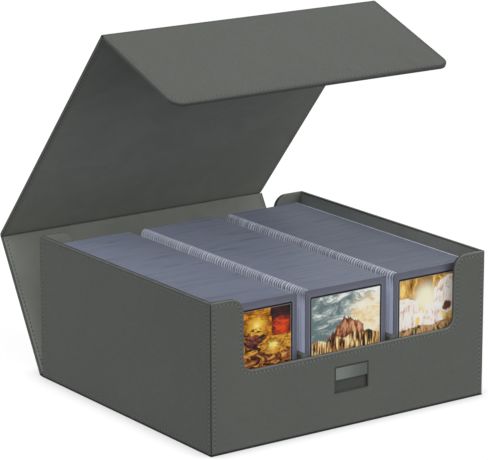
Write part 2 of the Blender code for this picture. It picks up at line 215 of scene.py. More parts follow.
class CARDCASE_PG_cards(PropertyGroup):
    """The rows of sleeved cards and the cards in front."""
    sleeve_pitch: size("Sleeve pitch", "Thickness of one sleeved card", 0.00062)
    sleeve_corner: size("Sleeve corner", "Rounding of a sleeve's empty margin", 0.0038)
    bundle_dip: size("Bundle dip", "How far the ends of a bundle draw in", 0.0008)
    groove: size("Groove", "Depth of the line between two sleeves, at their sides", 0.00035)
    top_groove: size("Top groove", "Depth of the line between two sleeves, on top", 0.00008)
    sleeve_top: tint("Sleeve top", "Sleeve edges seen from above", (0.190, 0.212, 0.278))
    # Row backs, fronts and bends: painted light and shade on the tops of the rows, from front to back
    row_backs: by_row("Row backs", "How light the top of each row is at its back", (0.74, 1.0, 0.85))
    row_fronts: by_row("Row fronts", "How light the top of each row is at its front", (0.38, 0.34, 0.06))
    row_bends: by_row("Row bends", "How late the top of each row takes its back tone", (1.0, 1.3, 2.2), 0.1, 4.0)
    # Sleeve sides: painted light, far paler than the tops where light catches and passes through the margins
    sleeve_side: tint("Sleeve side", "Sleeve edges seen from the side", (0.740, 0.785, 0.930))
    # Painted shade on the right side of the two left rows
    far_side: amount("Far side", "How light the right side of the two left rows is", 0.45)
    # Painted glow that lifts the printed colours of the cards
    print_glow: amount("Print glow", "How far the printed colours outshine plain paint", 0.15)
    # Glow and back glow: a painted glow in the sleeves' margins, stronger at the back of a row
    glow: amount("Glow", "Light that comes through the clear margins of the sleeves", 0.06)
    back_glow: amount("Back glow", "How much more of that light there is at the back of a row", 3.8)
    sleeve_face: tint("Sleeve face", "Margin of the front sleeve", (0.132, 0.143, 0.190))
    weld: tint("Weld", "Welded line beside the card", (0.270, 0.290, 0.370))
    border: size("Border", "Black border of a card", 0.0011)
    frame_line: size("Frame line", "Pale line between border and picture", 0.0004)
    card_corner: size("Card corner", "Rounding of a card's corners", 0.0013)


class CARDCASE_PG_settings(PropertyGroup):
    """Everything about the case that a user may change."""
    stage: PointerProperty(type=CARDCASE_PG_stage)
    wrap: PointerProperty(type=CARDCASE_PG_wrap)
    tray: PointerProperty(type=CARDCASE_PG_tray)
    lid: PointerProperty(type=CARDCASE_PG_lid)
    cards: PointerProperty(type=CARDCASE_PG_cards)


def settings():
    """The case's settings."""
    return bpy.context.scene.card_case


class Value:
    """A result in a node tree, ready to stand in a sum."""

    def __init__(self, tree, socket):
        self.tree = tree
        self.socket = socket

    def __add__(self, other):
        return self.tree.math("ADD", self, other)

    def __sub__(self, other):
        return self.tree.math("SUBTRACT", self, other)

    def __rsub__(self, other):
        return self.tree.math("SUBTRACT", other, self)

    def __mul__(self, other):
        return self.tree.math("MULTIPLY", self, other)

    def __truediv__(self, other):
        return self.tree.math("DIVIDE", self, other)

    def __rtruediv__(self, other):
        return self.tree.math("DIVIDE", other, self)


class Tree:
    """A node tree under construction: inputs are set or linked by name or number."""

    def __init__(self, node_tree):
        self.nodes = node_tree.nodes
        self.links = node_tree.links

    def fill(self, socket, value):
        """Link a socket to a result, or give it a plain value."""
        if isinstance(value, Value):
            self.links.new(value.socket, socket)
        else:
            socket.default_value = (*value, 1.0) if socket.type == "RGBA" else value

    def add(self, kind, inputs=None, **options):
        """A node, with its options set and its inputs filled."""
        node = self.nodes.new(kind)
        for option, value in options.items():
            setattr(node, option, value)
        for name, value in (inputs or {}).items():
            self.fill(node.inputs[name], value)
        return node

    def result(self, output, kind, inputs=None, **options):
        """One result of a new node."""
        return Value(self, self.add(kind, inputs, **options).outputs[output])

    def math(self, operation, first, second=0.5, clamp=False):
        """The result of one sum."""
        return self.result(0, "ShaderNodeMath", {0: first, 1: second}, operation=operation, use_clamp=clamp)

    def vectors(self, operation, first, second, port=1):
        """The result of one sum of places."""
        return self.result(0, "ShaderNodeVectorMath", {0: first, port: second}, operation=operation)

    def mix(self, factor, first, second, clamp=True):
        """One colour over another."""
        return self.result(2, "ShaderNodeMix", {0: factor, 6: first, 7: second}, data_type="RGBA", clamp_factor=clamp)

    def tones(self, factor, colour, dark, pale):
        """A colour that runs from one shade of it to another."""
        return self.mix(factor, scaled(colour, dark), scaled(colour, pale))

    def between(self, value, low, high, to_low=0.0, to_high=1.0):
        """A value mapped smoothly from one range to another, and held at its ends."""
        inputs = {"Value": value, "From Min": low, "From Max": high, "To Min": to_low, "To Max": to_high}
        return self.result(0, "ShaderNodeMapRange", inputs, interpolation_type="SMOOTHSTEP")

    def noise(self, place, scale, detail=3.0, roughness=0.5, distortion=0.0):
        """Cloudy noise from 0 to 1."""
        return self.result("Fac", "ShaderNodeTexNoise", {"Vector": place, "Scale": scale, "Detail": detail,
                                                         "Roughness": roughness, "Distortion": distortion})

    def place(self, *shares):
        """A point's place on its piece, in metres, drawn out along an axis where shares are given."""
        place = self.result("Object", "ShaderNodeTexCoord")
        return self.vectors("MULTIPLY", place, shares) if shares else place

    def place_in(self, width):
        """A point's place on its piece, counted in widths of a pebble or patch."""
        return self.vectors("SCALE", self.place(), 1.0 / width, "Scale")

    def mark(self, name):
        """A value that the mesh carries at its points."""
        return self.result("Fac", "ShaderNodeAttribute", attribute_name=name)

    def bump(self, height, strength, distance):
        """The normal of a fine relief."""
        return self.result(0, "ShaderNodeBump", {"Height": height, "Strength": strength, "Distance": distance})

    def surface(self, **looks):
        """Fill inputs of a material's Principled shader."""
        for label, value in looks.items():
            self.fill(self.nodes["Principled BSDF"].inputs[label.replace("_", " ")], value)


def scaled(colour, factor):
    """A colour made darker or lighter."""
    return tuple(min(1.0, channel * factor) for channel in colour)


def leather_grain(tree, pebble):
    """Pebbled leatherette, from the width of a pebble."""
    place = tree.place_in(pebble)
    warp = tree.result("Color", "ShaderNodeTexNoise", {"Vector": place, "Scale": 0.7, "Detail": 2.0})
    warped = tree.result(1, "ShaderNodeMix", {0: 0.35, 4: place, 5: tree.vectors("ADD", place, warp)},
                         data_type="VECTOR")
    cells = tree.result("Distance", "ShaderNodeTexVoronoi", {"Vector": warped, "Scale": 1.0},
                        feature="DISTANCE_TO_EDGE")
    pebbles = tree.between(cells, 0.0, 0.28)
    fine = tree.noise(place, 2.6, 3.0)
    soft = tree.noise(place, 0.33, 2.0)
    broad = tree.noise(tree.place(), 16.0, 3.0, 0.6)
    return {"Tone": broad * 0.5 + soft * 0.3 + pebbles * 0.2,
            "Height": pebbles * 0.55 + fine * 0.25 + soft * 0.35,
            "Shine": tree.between(pebbles + fine, 0.2, 1.6)}


def suede_nap(tree, patch):
    """Brushed suede, from the width of its brushed patches."""
    place = tree.place_in(patch)
    patches = tree.between(tree.noise(place, 1.0, 5.0, 0.62, 0.9), 0.36, 0.66)
    streaks = tree.noise(tree.vectors("MULTIPLY", place, (1.0, 1.0, 2.6)), 1.7, 4.0, 0.55, 0.4)
    fibres = tree.noise(tree.place(), 2600.0, 2.0)
    tufts = tree.noise(tree.place(), 420.0, 3.0)
    return {"Tone": patches * 0.6 + streaks * 0.4, "Height": fibres + tufts * 0.8}


def edge_rub(tree, strength):
    """Edges made paler in broken stretches, from the mesh's edge mark: wear, and painted highlight where an edge
    catches the light.
    """
    broken = tree.between(tree.noise(tree.place(), 240.0, 4.0, 0.6), 0.30, 0.70, 0.45, 1.0)
    return {"Mask": tree.math("MULTIPLY", strength * tree.mark("edge"), broken, clamp=True)}


def brushed_lines(tree, spacing):
    """Fine parallel scratches, from their spacing."""
    scratches = tree.noise(tree.place(0.02, 1.0, 1.0), 1.0 / spacing, 3.0, 0.6)
    return {"Tone": scratches, "Height": scratches}


# Each shared effect: its input with the usual value, and what makes it
GROUPS = {
    "Leather grain": ("Pebble", 0.001, leather_grain),
    "Suede nap": ("Patch", 0.03, suede_nap),
    "Edge rub": ("Strength", 0.5, edge_rub),
    "Brushed lines": ("Spacing", 0.0001, brushed_lines),
}


def build_group(name):
    """A shared effect as a node group, with a named input and named outputs."""
    label, default, make = GROUPS[name]
    group = bpy.data.node_groups.new(name, "ShaderNodeTree")
    group.interface.new_socket(label, in_out="INPUT", socket_type="NodeSocketFloat").default_value = default
    tree = Tree(group)
    results = make(tree, tree.result(label, "NodeGroupInput"))
    for output in results:
        group.interface.new_socket(output, in_out="OUTPUT", socket_type="NodeSocketFloat")
    tree.add("NodeGroupOutput", results)
    return group


def place_group(tree, name, **inputs):
    """A shared effect, placed in a material with its own values."""
    node = tree.add("ShaderNodeGroup", inputs, node_tree=bpy.data.node_groups.get(name) or build_group(name))
    return {output.name: Value(tree, output) for output in node.outputs}


def make_leatherette(tree):
    """Pebbled leatherette: its edges made paler by wear and painted highlight, and darkened by the shade mark towards
    the rim colour as painted shade on rims, corners and seam lines and in the bend of each fold.
    """
    wrap = settings().wrap
    grain = place_group(tree, "Leather grain", Pebble=wrap.grain)
    rub = place_group(tree, "Edge rub", Strength=0.85)
    body = tree.tones(tree.between(grain["Tone"], 0.30, 0.72), wrap.colour, 0.92, 1.08)
    # Painted shade from the shade mark, towards the rim colour
    body = tree.mix(tree.mark("shade") * 0.55, body, wrap.rim)
    tree.surface(Base_Color=tree.mix(rub["Mask"], body, wrap.rubbed),
                 Roughness=tree.between(grain["Shine"], 0.0, 1.0, 0.66, 0.52),
                 Normal=tree.bump(grain["Height"], 0.38, 0.00008))


def make_plain_leather(tree, colour, pebble, dark, pale, smooth, strength, distance):
    """Plain leatherette without edge marks, for the base sheet's dark edge and the finger pull's darker lining."""
    grain = place_group(tree, "Leather grain", Pebble=pebble)
    tree.surface(Base_Color=tree.tones(grain["Tone"], colour, dark, pale),
                 Roughness=tree.between(grain["Shine"], 0.0, 1.0, 0.8, smooth),
                 Normal=tree.bump(grain["Height"], strength, distance))


def make_edge_paint(tree):
    """The near-black cut edge of the base sheet: edge paint, and painted shade where the case meets the floor."""
    wrap = settings().wrap
    make_plain_leather(tree, wrap.edge_paint, wrap.grain, 0.8, 1.3, 0.6, 0.3, 0.00005)


def make_pull_lining(tree):
    """Leatherette inside the finger pull, darker than the wrap as painted shade in the recess."""
    wrap = settings().wrap
    make_plain_leather(tree, wrap.colour, wrap.grain * 0.8, 0.44, 0.63, 0.62, 0.4, 0.00007)


def make_suede(tree):
    """Brushed suede lining, its tone shifted by the shade mark as painted light and shade."""
    lid = settings().lid
    nap = place_group(tree, "Suede nap", Patch=lid.patch)
    tone = nap["Tone"] + tree.mark("shade") * 0.8
    tree.surface(Sheen_Weight=0.12, Sheen_Roughness=0.6, Specular_IOR_Level=0.2,
                 Base_Color=tree.mix(tone, lid.suede, lid.suede_brushed, clamp=False),
                 Roughness=tree.between(tone, 0.0, 1.0, 1.0, 0.88),
                 Normal=tree.bump(nap["Height"], 0.35, 0.0001))


def make_thread(tree):
    """Twisted thread, darkened as painted shade where it dives into its needle holes."""
    wrap = settings().wrap
    twist = tree.result("Fac", "ShaderNodeTexWave", {"Vector": tree.place(), "Scale": 900.0, "Distortion": 1.5,
                                                     "Detail": 1.0}, bands_direction="DIAGONAL")
    strand = tree.tones(twist, wrap.thread_colour, 0.72, 1.15)
    strand = tree.mix(tree.mark("shade"), strand, settings().lid.suede)
    tree.surface(Base_Color=tree.mix(tree.mark("edge"), strand, wrap.hole_colour),
                 Roughness=tree.between(twist, 0.0, 1.0, 0.7, 0.5),
                 Normal=tree.bump(twist, 0.4, 0.00006))


def make_sleeve(tree):
    """Matte plastic sleeves on edge: each a little lighter or darker, and paler down their sides as painted light,
    with a painted glow there for the light that comes through them. An edge mark above 1 makes that painted glow
    stronger."""
    cards = settings().cards
    shade = tree.mark("shade")
    edge = tree.mark("edge")
    haze = tree.noise(tree.place(), 38.0, 3.0)
    streaks = tree.between(tree.noise(tree.place(0.06, 1.0, 1.0), 430.0, 2.0), 0.52, 0.72)
    streaks = streaks * tree.between(haze, 0.35, 0.65, 0.15, 0.6)
    # The shade mark lightens and darkens the tops as painted light and shade
    top = tree.mix(streaks, tree.tones(shade, cards.sleeve_top, 0.84, 1.80), scaled(cards.sleeve_top, 0.55))
    side = tree.tones(shade, cards.sleeve_side, 0.10, 1.0)
    # Painted glow of the margins, faint on a dark rib
    through = tree.mix(shade * shade, BLACK, cards.sleeve_side)
    scuff = tree.noise(tree.place(0.2, 1.0, 1.0), 3000.0, 2.0)
    tree.surface(Specular_IOR_Level=0.12, Base_Color=tree.mix(edge, top, side),
                 Emission_Color=tree.mix(edge, BLACK, through, clamp=False), Emission_Strength=cards.glow,
                 Roughness=tree.between(haze, 0.2, 0.8, 0.5, 0.36), Normal=tree.bump(scuff, 0.2, 0.00005))


def make_sleeve_face(tree):
    """The front sleeve's matte margin, with a paler welded line round the card."""
    cards = settings().cards
    haze = tree.noise(tree.place(), 60.0, 4.0, 0.6)
    body = tree.tones(haze, cards.sleeve_face, 0.86, 1.14)
    tree.surface(Specular_IOR_Level=0.3, Base_Color=tree.mix(tree.mark("edge"), body, cards.weld),
                 Roughness=tree.between(haze, 0.2, 0.8, 0.42, 0.28),
                 Normal=tree.bump(tree.noise(tree.place(), 2400.0, 2.0), 0.15, 0.00004))


def make_nameplate(tree):
    """Satin metal, brushed along its length, darker towards one end."""
    brushed = place_group(tree, "Brushed lines", Spacing=0.00022)
    place = tree.result("Generated", "ShaderNodeTexCoord")
    across = tree.result("X", "ShaderNodeSeparateXYZ", {0: place})
    light = tree.mix(brushed["Tone"], (0.136, 0.148, 0.136), (0.184, 0.200, 0.184))
    dark = tree.mix(brushed["Tone"], (0.076, 0.084, 0.076), (0.110, 0.120, 0.110))
    tree.surface(Metallic=0.85, Base_Color=tree.mix(tree.between(across, 0.1, 0.95), light, dark),
                 Roughness=tree.between(brushed["Tone"], 0.2, 0.8, 0.5, 0.34),
                 Normal=tree.bump(brushed["Height"], 0.25, 0.00003))


def make_magnet(tree):
    """Plated discs, turned on their faces."""
    brushed = place_group(tree, "Brushed lines", Spacing=0.00016)
    tree.surface(Metallic=1.0, Base_Color=tree.mix(brushed["Tone"], (0.58, 0.58, 0.59), (0.74, 0.74, 0.75)),
                 Roughness=tree.between(brushed["Tone"], 0.2, 0.8, 0.32, 0.2))


def make_grey_board(tree):
    """Pressed grey board with flecks of fibre."""
    flecks = tree.noise(tree.place(), 900.0, 4.0, 0.7)
    tone = flecks * 0.6 + tree.noise(tree.place(), 60.0, 3.0) * 0.4
    tree.surface(Base_Color=tree.mix(tone, (0.23, 0.22, 0.205), (0.36, 0.35, 0.325)),
                 Normal=tree.bump(flecks, 0.3, 0.0001))


class Picture:
    """A card's painted scene under construction. Places on it are shares of the card's width and height."""
    skyline_edge = (-0.004, 0.008)

    def __init__(self, tree):
        card = extent("front_card_centre")
        self.tree = tree
        self.scene = None
        sides = tree.add("ShaderNodeSeparateXYZ", {0: tree.place()}).outputs
        self.across = Value(tree, sides["X"]) / card.x
        self.up = Value(tree, sides["Z"]) / card.z

    def brush(self, shares, *strokes):
        """Brush strokes, drawn out along an axis."""
        return self.tree.noise(self.tree.place(*shares), *strokes)

    def lay(self, mask, paint, *stops):
        """Paint inside a mask: in one colour, or along a value, each stop a position and a colour."""
        if stops:
            node = self.tree.add("ShaderNodeValToRGB", {"Fac": paint})
            elements = node.color_ramp.elements
            while len(elements) < len(stops):
                elements.new(1.0)
            for element, (position, *colour) in zip(elements, stops):
                element.position = position
                element.color = (*colour, 1.0)
            paint = Value(self.tree, node.outputs["Color"])
        self.scene = self.tree.mix(mask, self.scene, paint) if mask else paint

    def blot(self, centre, radius, soft, brush, ragged):
        """A ragged round patch: 1 inside, 0 outside."""
        aside = self.across - centre[0]
        above = (self.up - centre[1]) * 1.4
        away = self.tree.math("SQRT", aside * aside + above * above) + (brush - 0.5) * ragged
        return self.tree.between(away, radius + soft, radius)

    def skyline(self, base, height, teeth, wander):
        """A mask of the ground below a broken skyline."""
        broad = self.brush((1.0, 1.0, 0.0), wander, 3.0)
        saw = self.tree.math("PINGPONG", self.across * teeth, 0.5)
        line = broad * height + saw * (height * 0.35) + base
        return self.tree.between(line - self.up, *self.skyline_edge)

    def peak(self, top, slope, brush, ragged):
        """A mask of the ground below a single broken peak."""
        line = top[1] - self.tree.math("ABSOLUTE", self.across - top[0]) * slope + (brush - 0.5) * ragged
        return self.tree.between(line - self.up, *self.skyline_edge)

    def print_card(self):
        """The scene inside a black border, with a pale line between them."""
        tree = self.tree
        self.lay(tree.mark("shade") * 0.6, (0.40, 0.36, 0.30))
        self.lay(tree.mark("edge"), (0.012, 0.012, 0.014))
        smear = tree.noise(tree.place(), 45.0, 3.0)
        # The picture also glows a little, as painted light
        tree.surface(Specular_IOR_Level=0.12, Base_Color=self.scene, Emission_Color=self.scene,
                     Emission_Strength=settings().cards.print_glow, Roughness=tree.between(smear, 0.3, 0.7, 0.4, 0.55))


def paint_dunes(tree):
    """A low sun over ember-coloured dunes, with night coming in from one side."""
    card = Picture(tree)
    brush = card.brush((1.0, 1.0, 2.0), 110.0, 6.0, 0.66, 1.4)
    broad = card.brush((), 38.0, 3.0, 0.5, 0.8)
    card.lay(None, brush, (0.38, 0.09, 0.025, 0.004), (0.50, 0.38, 0.125, 0.010), (0.62, 0.88, 0.36, 0.03))
    sun = card.blot((0.52, 0.85), 0.05, 0.13, brush, 0.16)
    card.lay(sun, brush, (0.38, 0.70, 0.24, 0.02), (0.56, 1.0, 0.66, 0.08))
    sun = card.blot((0.52, 0.86), 0.01, 0.06, brush, 0.16)
    card.lay(sun, brush, (0.38, 1.0, 0.66, 0.08), (0.56, 1.0, 0.92, 0.30))
    night = tree.between(card.across + card.up * 0.25 + (broad - 0.5) * 0.14, 0.925, 0.945)
    card.lay(night, brush, (0.4, 0.006, 0.007, 0.012), (0.7, 0.06, 0.018, 0.018))
    ember = card.blot((0.84, 0.81), 0.02, 0.15, brush, 0.50)
    card.lay(ember, broad, (0.35, 0.30, 0.014, 0.008), (0.60, 0.80, 0.08, 0.02))
    card.lay(card.skyline(0.655, 0.15, 1.3, 30.0), brush, (0.42, 0.22, 0.07, 0.01), (0.58, 0.85, 0.42, 0.05))
    shadow = card.blot((0.47, 0.735), 0.10, 0.03, brush, 0.50)
    card.lay(shadow, brush, (0.44, 0.018, 0.008, 0.010), (0.58, 0.34, 0.09, 0.05))
    card.lay(card.skyline(0.545, 0.13, 2.7, 48.0), brush,
             (0.42, 0.04, 0.010, 0.005), (0.52, 0.28, 0.09, 0.025), (0.62, 0.85, 0.42, 0.11))
    card.lay(card.blot((0.74, 0.66), 0.01, 0.06, brush, 0.40), (1.0, 0.82, 0.22))
    card.print_card()


def paint_lake(tree):
    """Banks of cloud over a warm shore, with dark rocks and reeds."""
    card = Picture(tree)
    clouds = card.brush((1.0, 1.0, 2.0), 60.0, 7.0, 0.68, 1.1)
    crags = card.brush((2.0, 1.0, 0.8), 75.0, 6.0, 0.60, 0.3)
    blades = card.brush((4.5, 1.0, 0.6), 110.0, 4.0, 0.6, 0.3)
    card.lay(None, clouds + (card.across - 0.5) * 0.26, (0.38, 0.150, 0.210, 0.215), (0.47, 0.380, 0.450, 0.435),
             (0.54, 0.780, 0.810, 0.770), (0.61, 1.0, 1.0, 0.95))
    warm = card.blot((0.84, 0.68), 0.20, 0.22, clouds, 0.30)
    card.lay(warm, clouds, (0.38, 0.90, 0.62, 0.24), (0.56, 1.0, 0.94, 0.74))
    card.lay(card.peak((0.52, 0.80), 0.62, crags, 0.55), crags,
             (0.47, 0.030, 0.016, 0.012), (0.54, 0.26, 0.08, 0.03), (0.63, 0.80, 0.42, 0.24))
    card.lay(card.skyline(0.535, 0.15, 4.2, 36.0), blades,
             (0.42, 0.020, 0.018, 0.014), (0.50, 0.45, 0.18, 0.04), (0.58, 1.0, 0.84, 0.46))
    card.print_card()


def paint_canyon(tree):
    """Pale rounded cliffs before a gold wall of rock, with the light breaking between them."""
    card = Picture(tree)
    rock = card.brush((1.4, 1.0, 0.8), 60.0, 6.0, 0.62, 0.8)
    fine = card.brush((2.2, 1.0, 1.0), 150.0, 5.0, 0.64, 0.6)
    card.lay(None, rock, (0.40, 0.10, 0.035, 0.012), (0.50, 0.58, 0.28, 0.05), (0.60, 1.0, 0.74, 0.26))
    card.lay(card.blot((0.40, 0.80), 0.06, 0.20, rock, 0.20), (1.0, 0.97, 0.72))
    for centre, radius in (((0.74, 0.80), 0.20), ((0.06, 0.66), 0.22), ((0.48, 0.61), 0.17)):
        card.lay(card.blot(centre, radius + 0.02, 0.01, rock, 0.30), (1.0, 0.99, 0.93))
        card.lay(card.blot(centre, radius, 0.01, rock, 0.30), fine,
                 (0.36, 0.62, 0.46, 0.38), (0.46, 0.95, 0.82, 0.72), (0.56, 1.0, 1.0, 0.96))
    card.lay(card.blot((0.70, 0.70), 0.035, 0.04, rock, 0.35), (0.16, 0.055, 0.035))
    card.lay(card.skyline(0.500, 0.13, 1.9, 38.0), fine, (0.42, 0.04, 0.045, 0.02), (0.56, 0.72, 0.42, 0.20))
    card.print_card()


# Each finish: what makes it, and its roughness where nothing varies it
FINISHES = {
    "leatherette": (make_leatherette, 0.6),
    "edge_paint": (make_edge_paint, 0.7),
    "suede": (make_suede, 0.95),
    "thread": (make_thread, 0.55),
    "sleeve": (make_sleeve, 0.5),
    "sleeve_face": (make_sleeve_face, 0.4),
    "nameplate": (make_nameplate, 0.4),
    "pull_lining": (make_pull_lining, 0.7),
    "magnet": (make_magnet, 0.25),
    "grey_board": (make_grey_board, 0.92),
    "card_warm": (paint_dunes, 0.5),
    "card_cool": (paint_lake, 0.5),
    "card_pale": (paint_canyon, 0.5),
}


def finish(name):
    """A finish of the case, made the first time that it is asked for."""
    found = bpy.data.materials.get("finish_" + name)
    if not found:
        make, roughness = FINISHES[name]
        found = bpy.data.materials.new("finish_" + name)
        found.use_nodes = True
        tree = Tree(found.node_tree)
        tree.surface(Roughness=roughness)
        make(tree)
    return found


def arc(centre, radius, start_deg, end_deg, steps):
    """Points along an arc, both ends included."""
    angles = [math.radians(start_deg + (end_deg - start_deg) * step / steps) for step in range(steps + 1)]
    return [(centre[0] + radius * math.cos(a), centre[1] + radius * math.sin(a)) for a in angles]


def ring(sides):
    """The cosine and sine of each step once round."""
    angles = [2 * math.pi * side / sides for side in range(sides)]
    return [(math.cos(angle), math.sin(angle)) for angle in angles]


def quarter(radius, steps=5):
    """Depth and inset round a quarter turn, from the face to the side."""
    angles = [math.pi / 2 * step / steps for step in range(steps + 1)]
    return [(radius - radius * math.cos(a), radius - radius * math.sin(a)) for a in angles]


def rectangle(left, right, foot, top):
    """Four corners, from the lower left one round."""
    return [(left, foot), (right, foot), (right, top), (left, top)]


def rounded_rectangle(left, right, foot, top, radius, steps=4):
    """An outline with four rounded corners, from the lower left one round."""
    centres = rectangle(left + radius, right - radius, foot + radius, top - radius)
    return [point for centre, start in zip(centres, (180, 270, 0, 90))
            for point in arc(centre, radius, start, start + 90, steps)]


class Shape:
    """One piece under construction, gathered body by body, with two marks at each point."""

    def __init__(self, loops=(), **marks):
        self.points = []
        self.faces = []
        self.edge = []
        self.shade = []
        if loops:
            self.loft(loops, **marks)

    def loft(self, loops, edge=0.0, shade=0.0):
        """One closed body through loops of equal length. A mark is a number, or one a loop, or one a point."""
        base = len(self.points)
        count = len(loops[0])
        self.points += [tuple(point) for loop in loops for point in loop]
        for marks, kept in ((edge, self.edge), (shade, self.shade)):
            for number in range(len(loops)):
                mark = marks[number] if isinstance(marks, list) else marks
                kept += mark if isinstance(mark, list) else [mark] * count
        last = base + count * (len(loops) - 1)
        self.faces += [tuple(range(base, base + count)), tuple(range(last + count - 1, last - 1, -1))]
        for start in range(base, last, count):
            for i in range(count):
                j = (i + 1) % count
                self.faces.append((start + j, start + i, start + count + i, start + count + j))

    def mesh(self, name):
        """The gathered bodies as a mesh, faces outwards, smooth with sharp edges kept."""
        mesh = bpy.data.meshes.new(name)
        mesh.from_pydata(self.points, [], self.faces)
        built = bmesh.new()
        built.from_mesh(mesh)
        bmesh.ops.recalc_face_normals(built, faces=built.faces)
        built.to_mesh(mesh)
        built.free()
        for label, values in (("edge", self.edge), ("shade", self.shade)):
            mesh.attributes.new(label, "FLOAT", "POINT").data.foreach_set("value", values)
        mesh.shade_smooth()
        mesh.set_sharp_from_angle(angle=SHARP)
        return mesh


def add_object(name, data, matrix=None):
    """A new object in the scene, at its place."""
    obj = bpy.data.objects.new(name, data)
    bpy.context.scene.collection.objects.link(obj)
    if matrix:
        obj.matrix_world = matrix
    return obj


def add_piece(name, shape, finish_name, replaces=(), body="tray", matrix=None):
    """A piece of the case, placed, riding on its body, and standing for its CAD nodes."""
    obj = add_object(name, shape.mesh(name), matrix)
    obj.data.materials.append(finish(finish_name))
    if body:
        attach(obj, body)
    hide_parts(*replaces)
    return obj


def add_to_panel(panel, ending, shape, finish_name, slot, *replaced):
    """A piece of one wall or lid panel, named after it, as the CAD nodes that it replaces are."""
    add_piece(panel.name + ending, shape, finish_name, [panel.name + node for node in replaced],
              panel.body, panel.matrix)


class Wall:
    """One tray wall: where it stands, and its outline at any depth and inset."""
    body = "tray"
    # How far the painted shade of its edge reaches onto its face, how deep in its edge the painted shade of its rim
    # starts, and how dull its seams are
    lip, rim_start, dull = 0.0, 0.52, 0.0
    # How pale a window's right and left edges are made, as wear and painted highlight, and how dark the foot of a
    # corner is, as painted shade
    right_rub, left_rub, foot_dark = 0.55, 0.1, 0.2
    # Painted light and shade on the lining: on the back wall, and on the right wall at its middle and more towards one
    # end
    back_nap, right_nap, right_nap_rise = -1.5, 1.0, 3.6

    def __init__(self, side, turn_deg, half_reach, half_length, window):
        self.name = side + "_wall"
        # How much painted shade its turned rim gets: none on the back wall
        self.rim = 0.0 if side == "back" else 1.0
        self.hem = SKIN / 2 if side == "back" else TURN_IN
        self.matrix = Matrix.Rotation(math.radians(turn_deg), 4, "Z")
        self.half_reach = half_reach
        self.half_length = half_length
        self.window = window
        wrap = settings().wrap
        self.edge_radius = wrap.edge_radius
        self.seam_inset = wrap.seam_inset if window else wrap.side_seam_inset
        self.shoulder = CASE_HEIGHT - TURN_IN * 2

    def at(self, u, v, depth):
        """A point on the wall, at a depth behind its outer face."""
        return (u, depth - self.half_reach, v)

    def worn(self, u, v):
        """How pale an edge is made, as wear and painted highlight: the free top edges most, those of a window less,
        the corners between walls and the right wall not.
        """
        if self.at_corner(u, v) or self.name == "right_wall":
            return 0.0
        if self.window and settings().tray.window_sill + TURN_IN < v < self.shoulder - TURN_IN:
            return self.right_rub if u > 0 else self.left_rub
        return 1.0

    def nap(self, u, v):
        """The painted light, above 0, and painted shade, below 0, on the lining."""
        if self.name == "right_wall":
            return self.right_nap + self.right_nap_rise * u / self.half_length
        return self.back_nap if self.name == "back_wall" else 0.0

    def at_corner(self, u, v):
        """Whether a point lies at a corner between two walls, below their free top edges."""
        return v < self.shoulder and abs(u) > self.half_length - 2 * PANEL

    def marks(self, u, v, edge, strip, rim, groove):
        """How pale and how dark a point is, from the values of its row: paler as wear and painted highlight, darker as
        painted shade.
        """
        low = v < settings().tray.wall_foot + 2 * TURN_IN
        # Corners, the foot of a corner, and a side wall's seam strip get painted shade
        if self.at_corner(u, v):
            dark = max(edge, rim) + (self.foot_dark * strip if low else 0.0)
        else:
            dark = rim if self.window else max(rim, strip)
        return edge * self.worn(u, v), min(1.0, dark)

    def outline(self, depth, inset, hem=0.0, lining=False):
        """Points across and up the wall, each with 1 where a seam runs along it."""
        tray = settings().tray
        radius = self.edge_radius
        mitre = ROOT_TWO * min(inset, radius) + max(inset - radius, 0.0)
        end = self.half_length - (PANEL + GAP / 3 if lining else depth + GAP / 3 + mitre)
        top = CASE_HEIGHT - inset
        foot = tray.wall_foot + inset
        ankle = foot + radius
        shoulder = self.shoulder - radius
        sewn = 0 if self.window else 1
        points = [(-end, foot, sewn), (end, foot, sewn), (end, ankle, 1), (end, shoulder, 1), (end, top, 1)]
        if self.window:
            jamb = self.half_length - tray.window_stub
            stub_centre = (jamb + tray.stub_radius, CASE_HEIGHT - tray.stub_radius)
            sill_centre = (jamb - tray.sill_radius, tray.window_sill + tray.sill_radius)
            right = arc(stub_centre, tray.stub_radius - inset, 90, 180, 10)
            right += arc(sill_centre, tray.sill_radius + inset, 360, 270, 10)
            points += both_ways(right)
        return points + [(-end, top, 1), (-end, shoulder, 1), (-end, ankle, 1)]


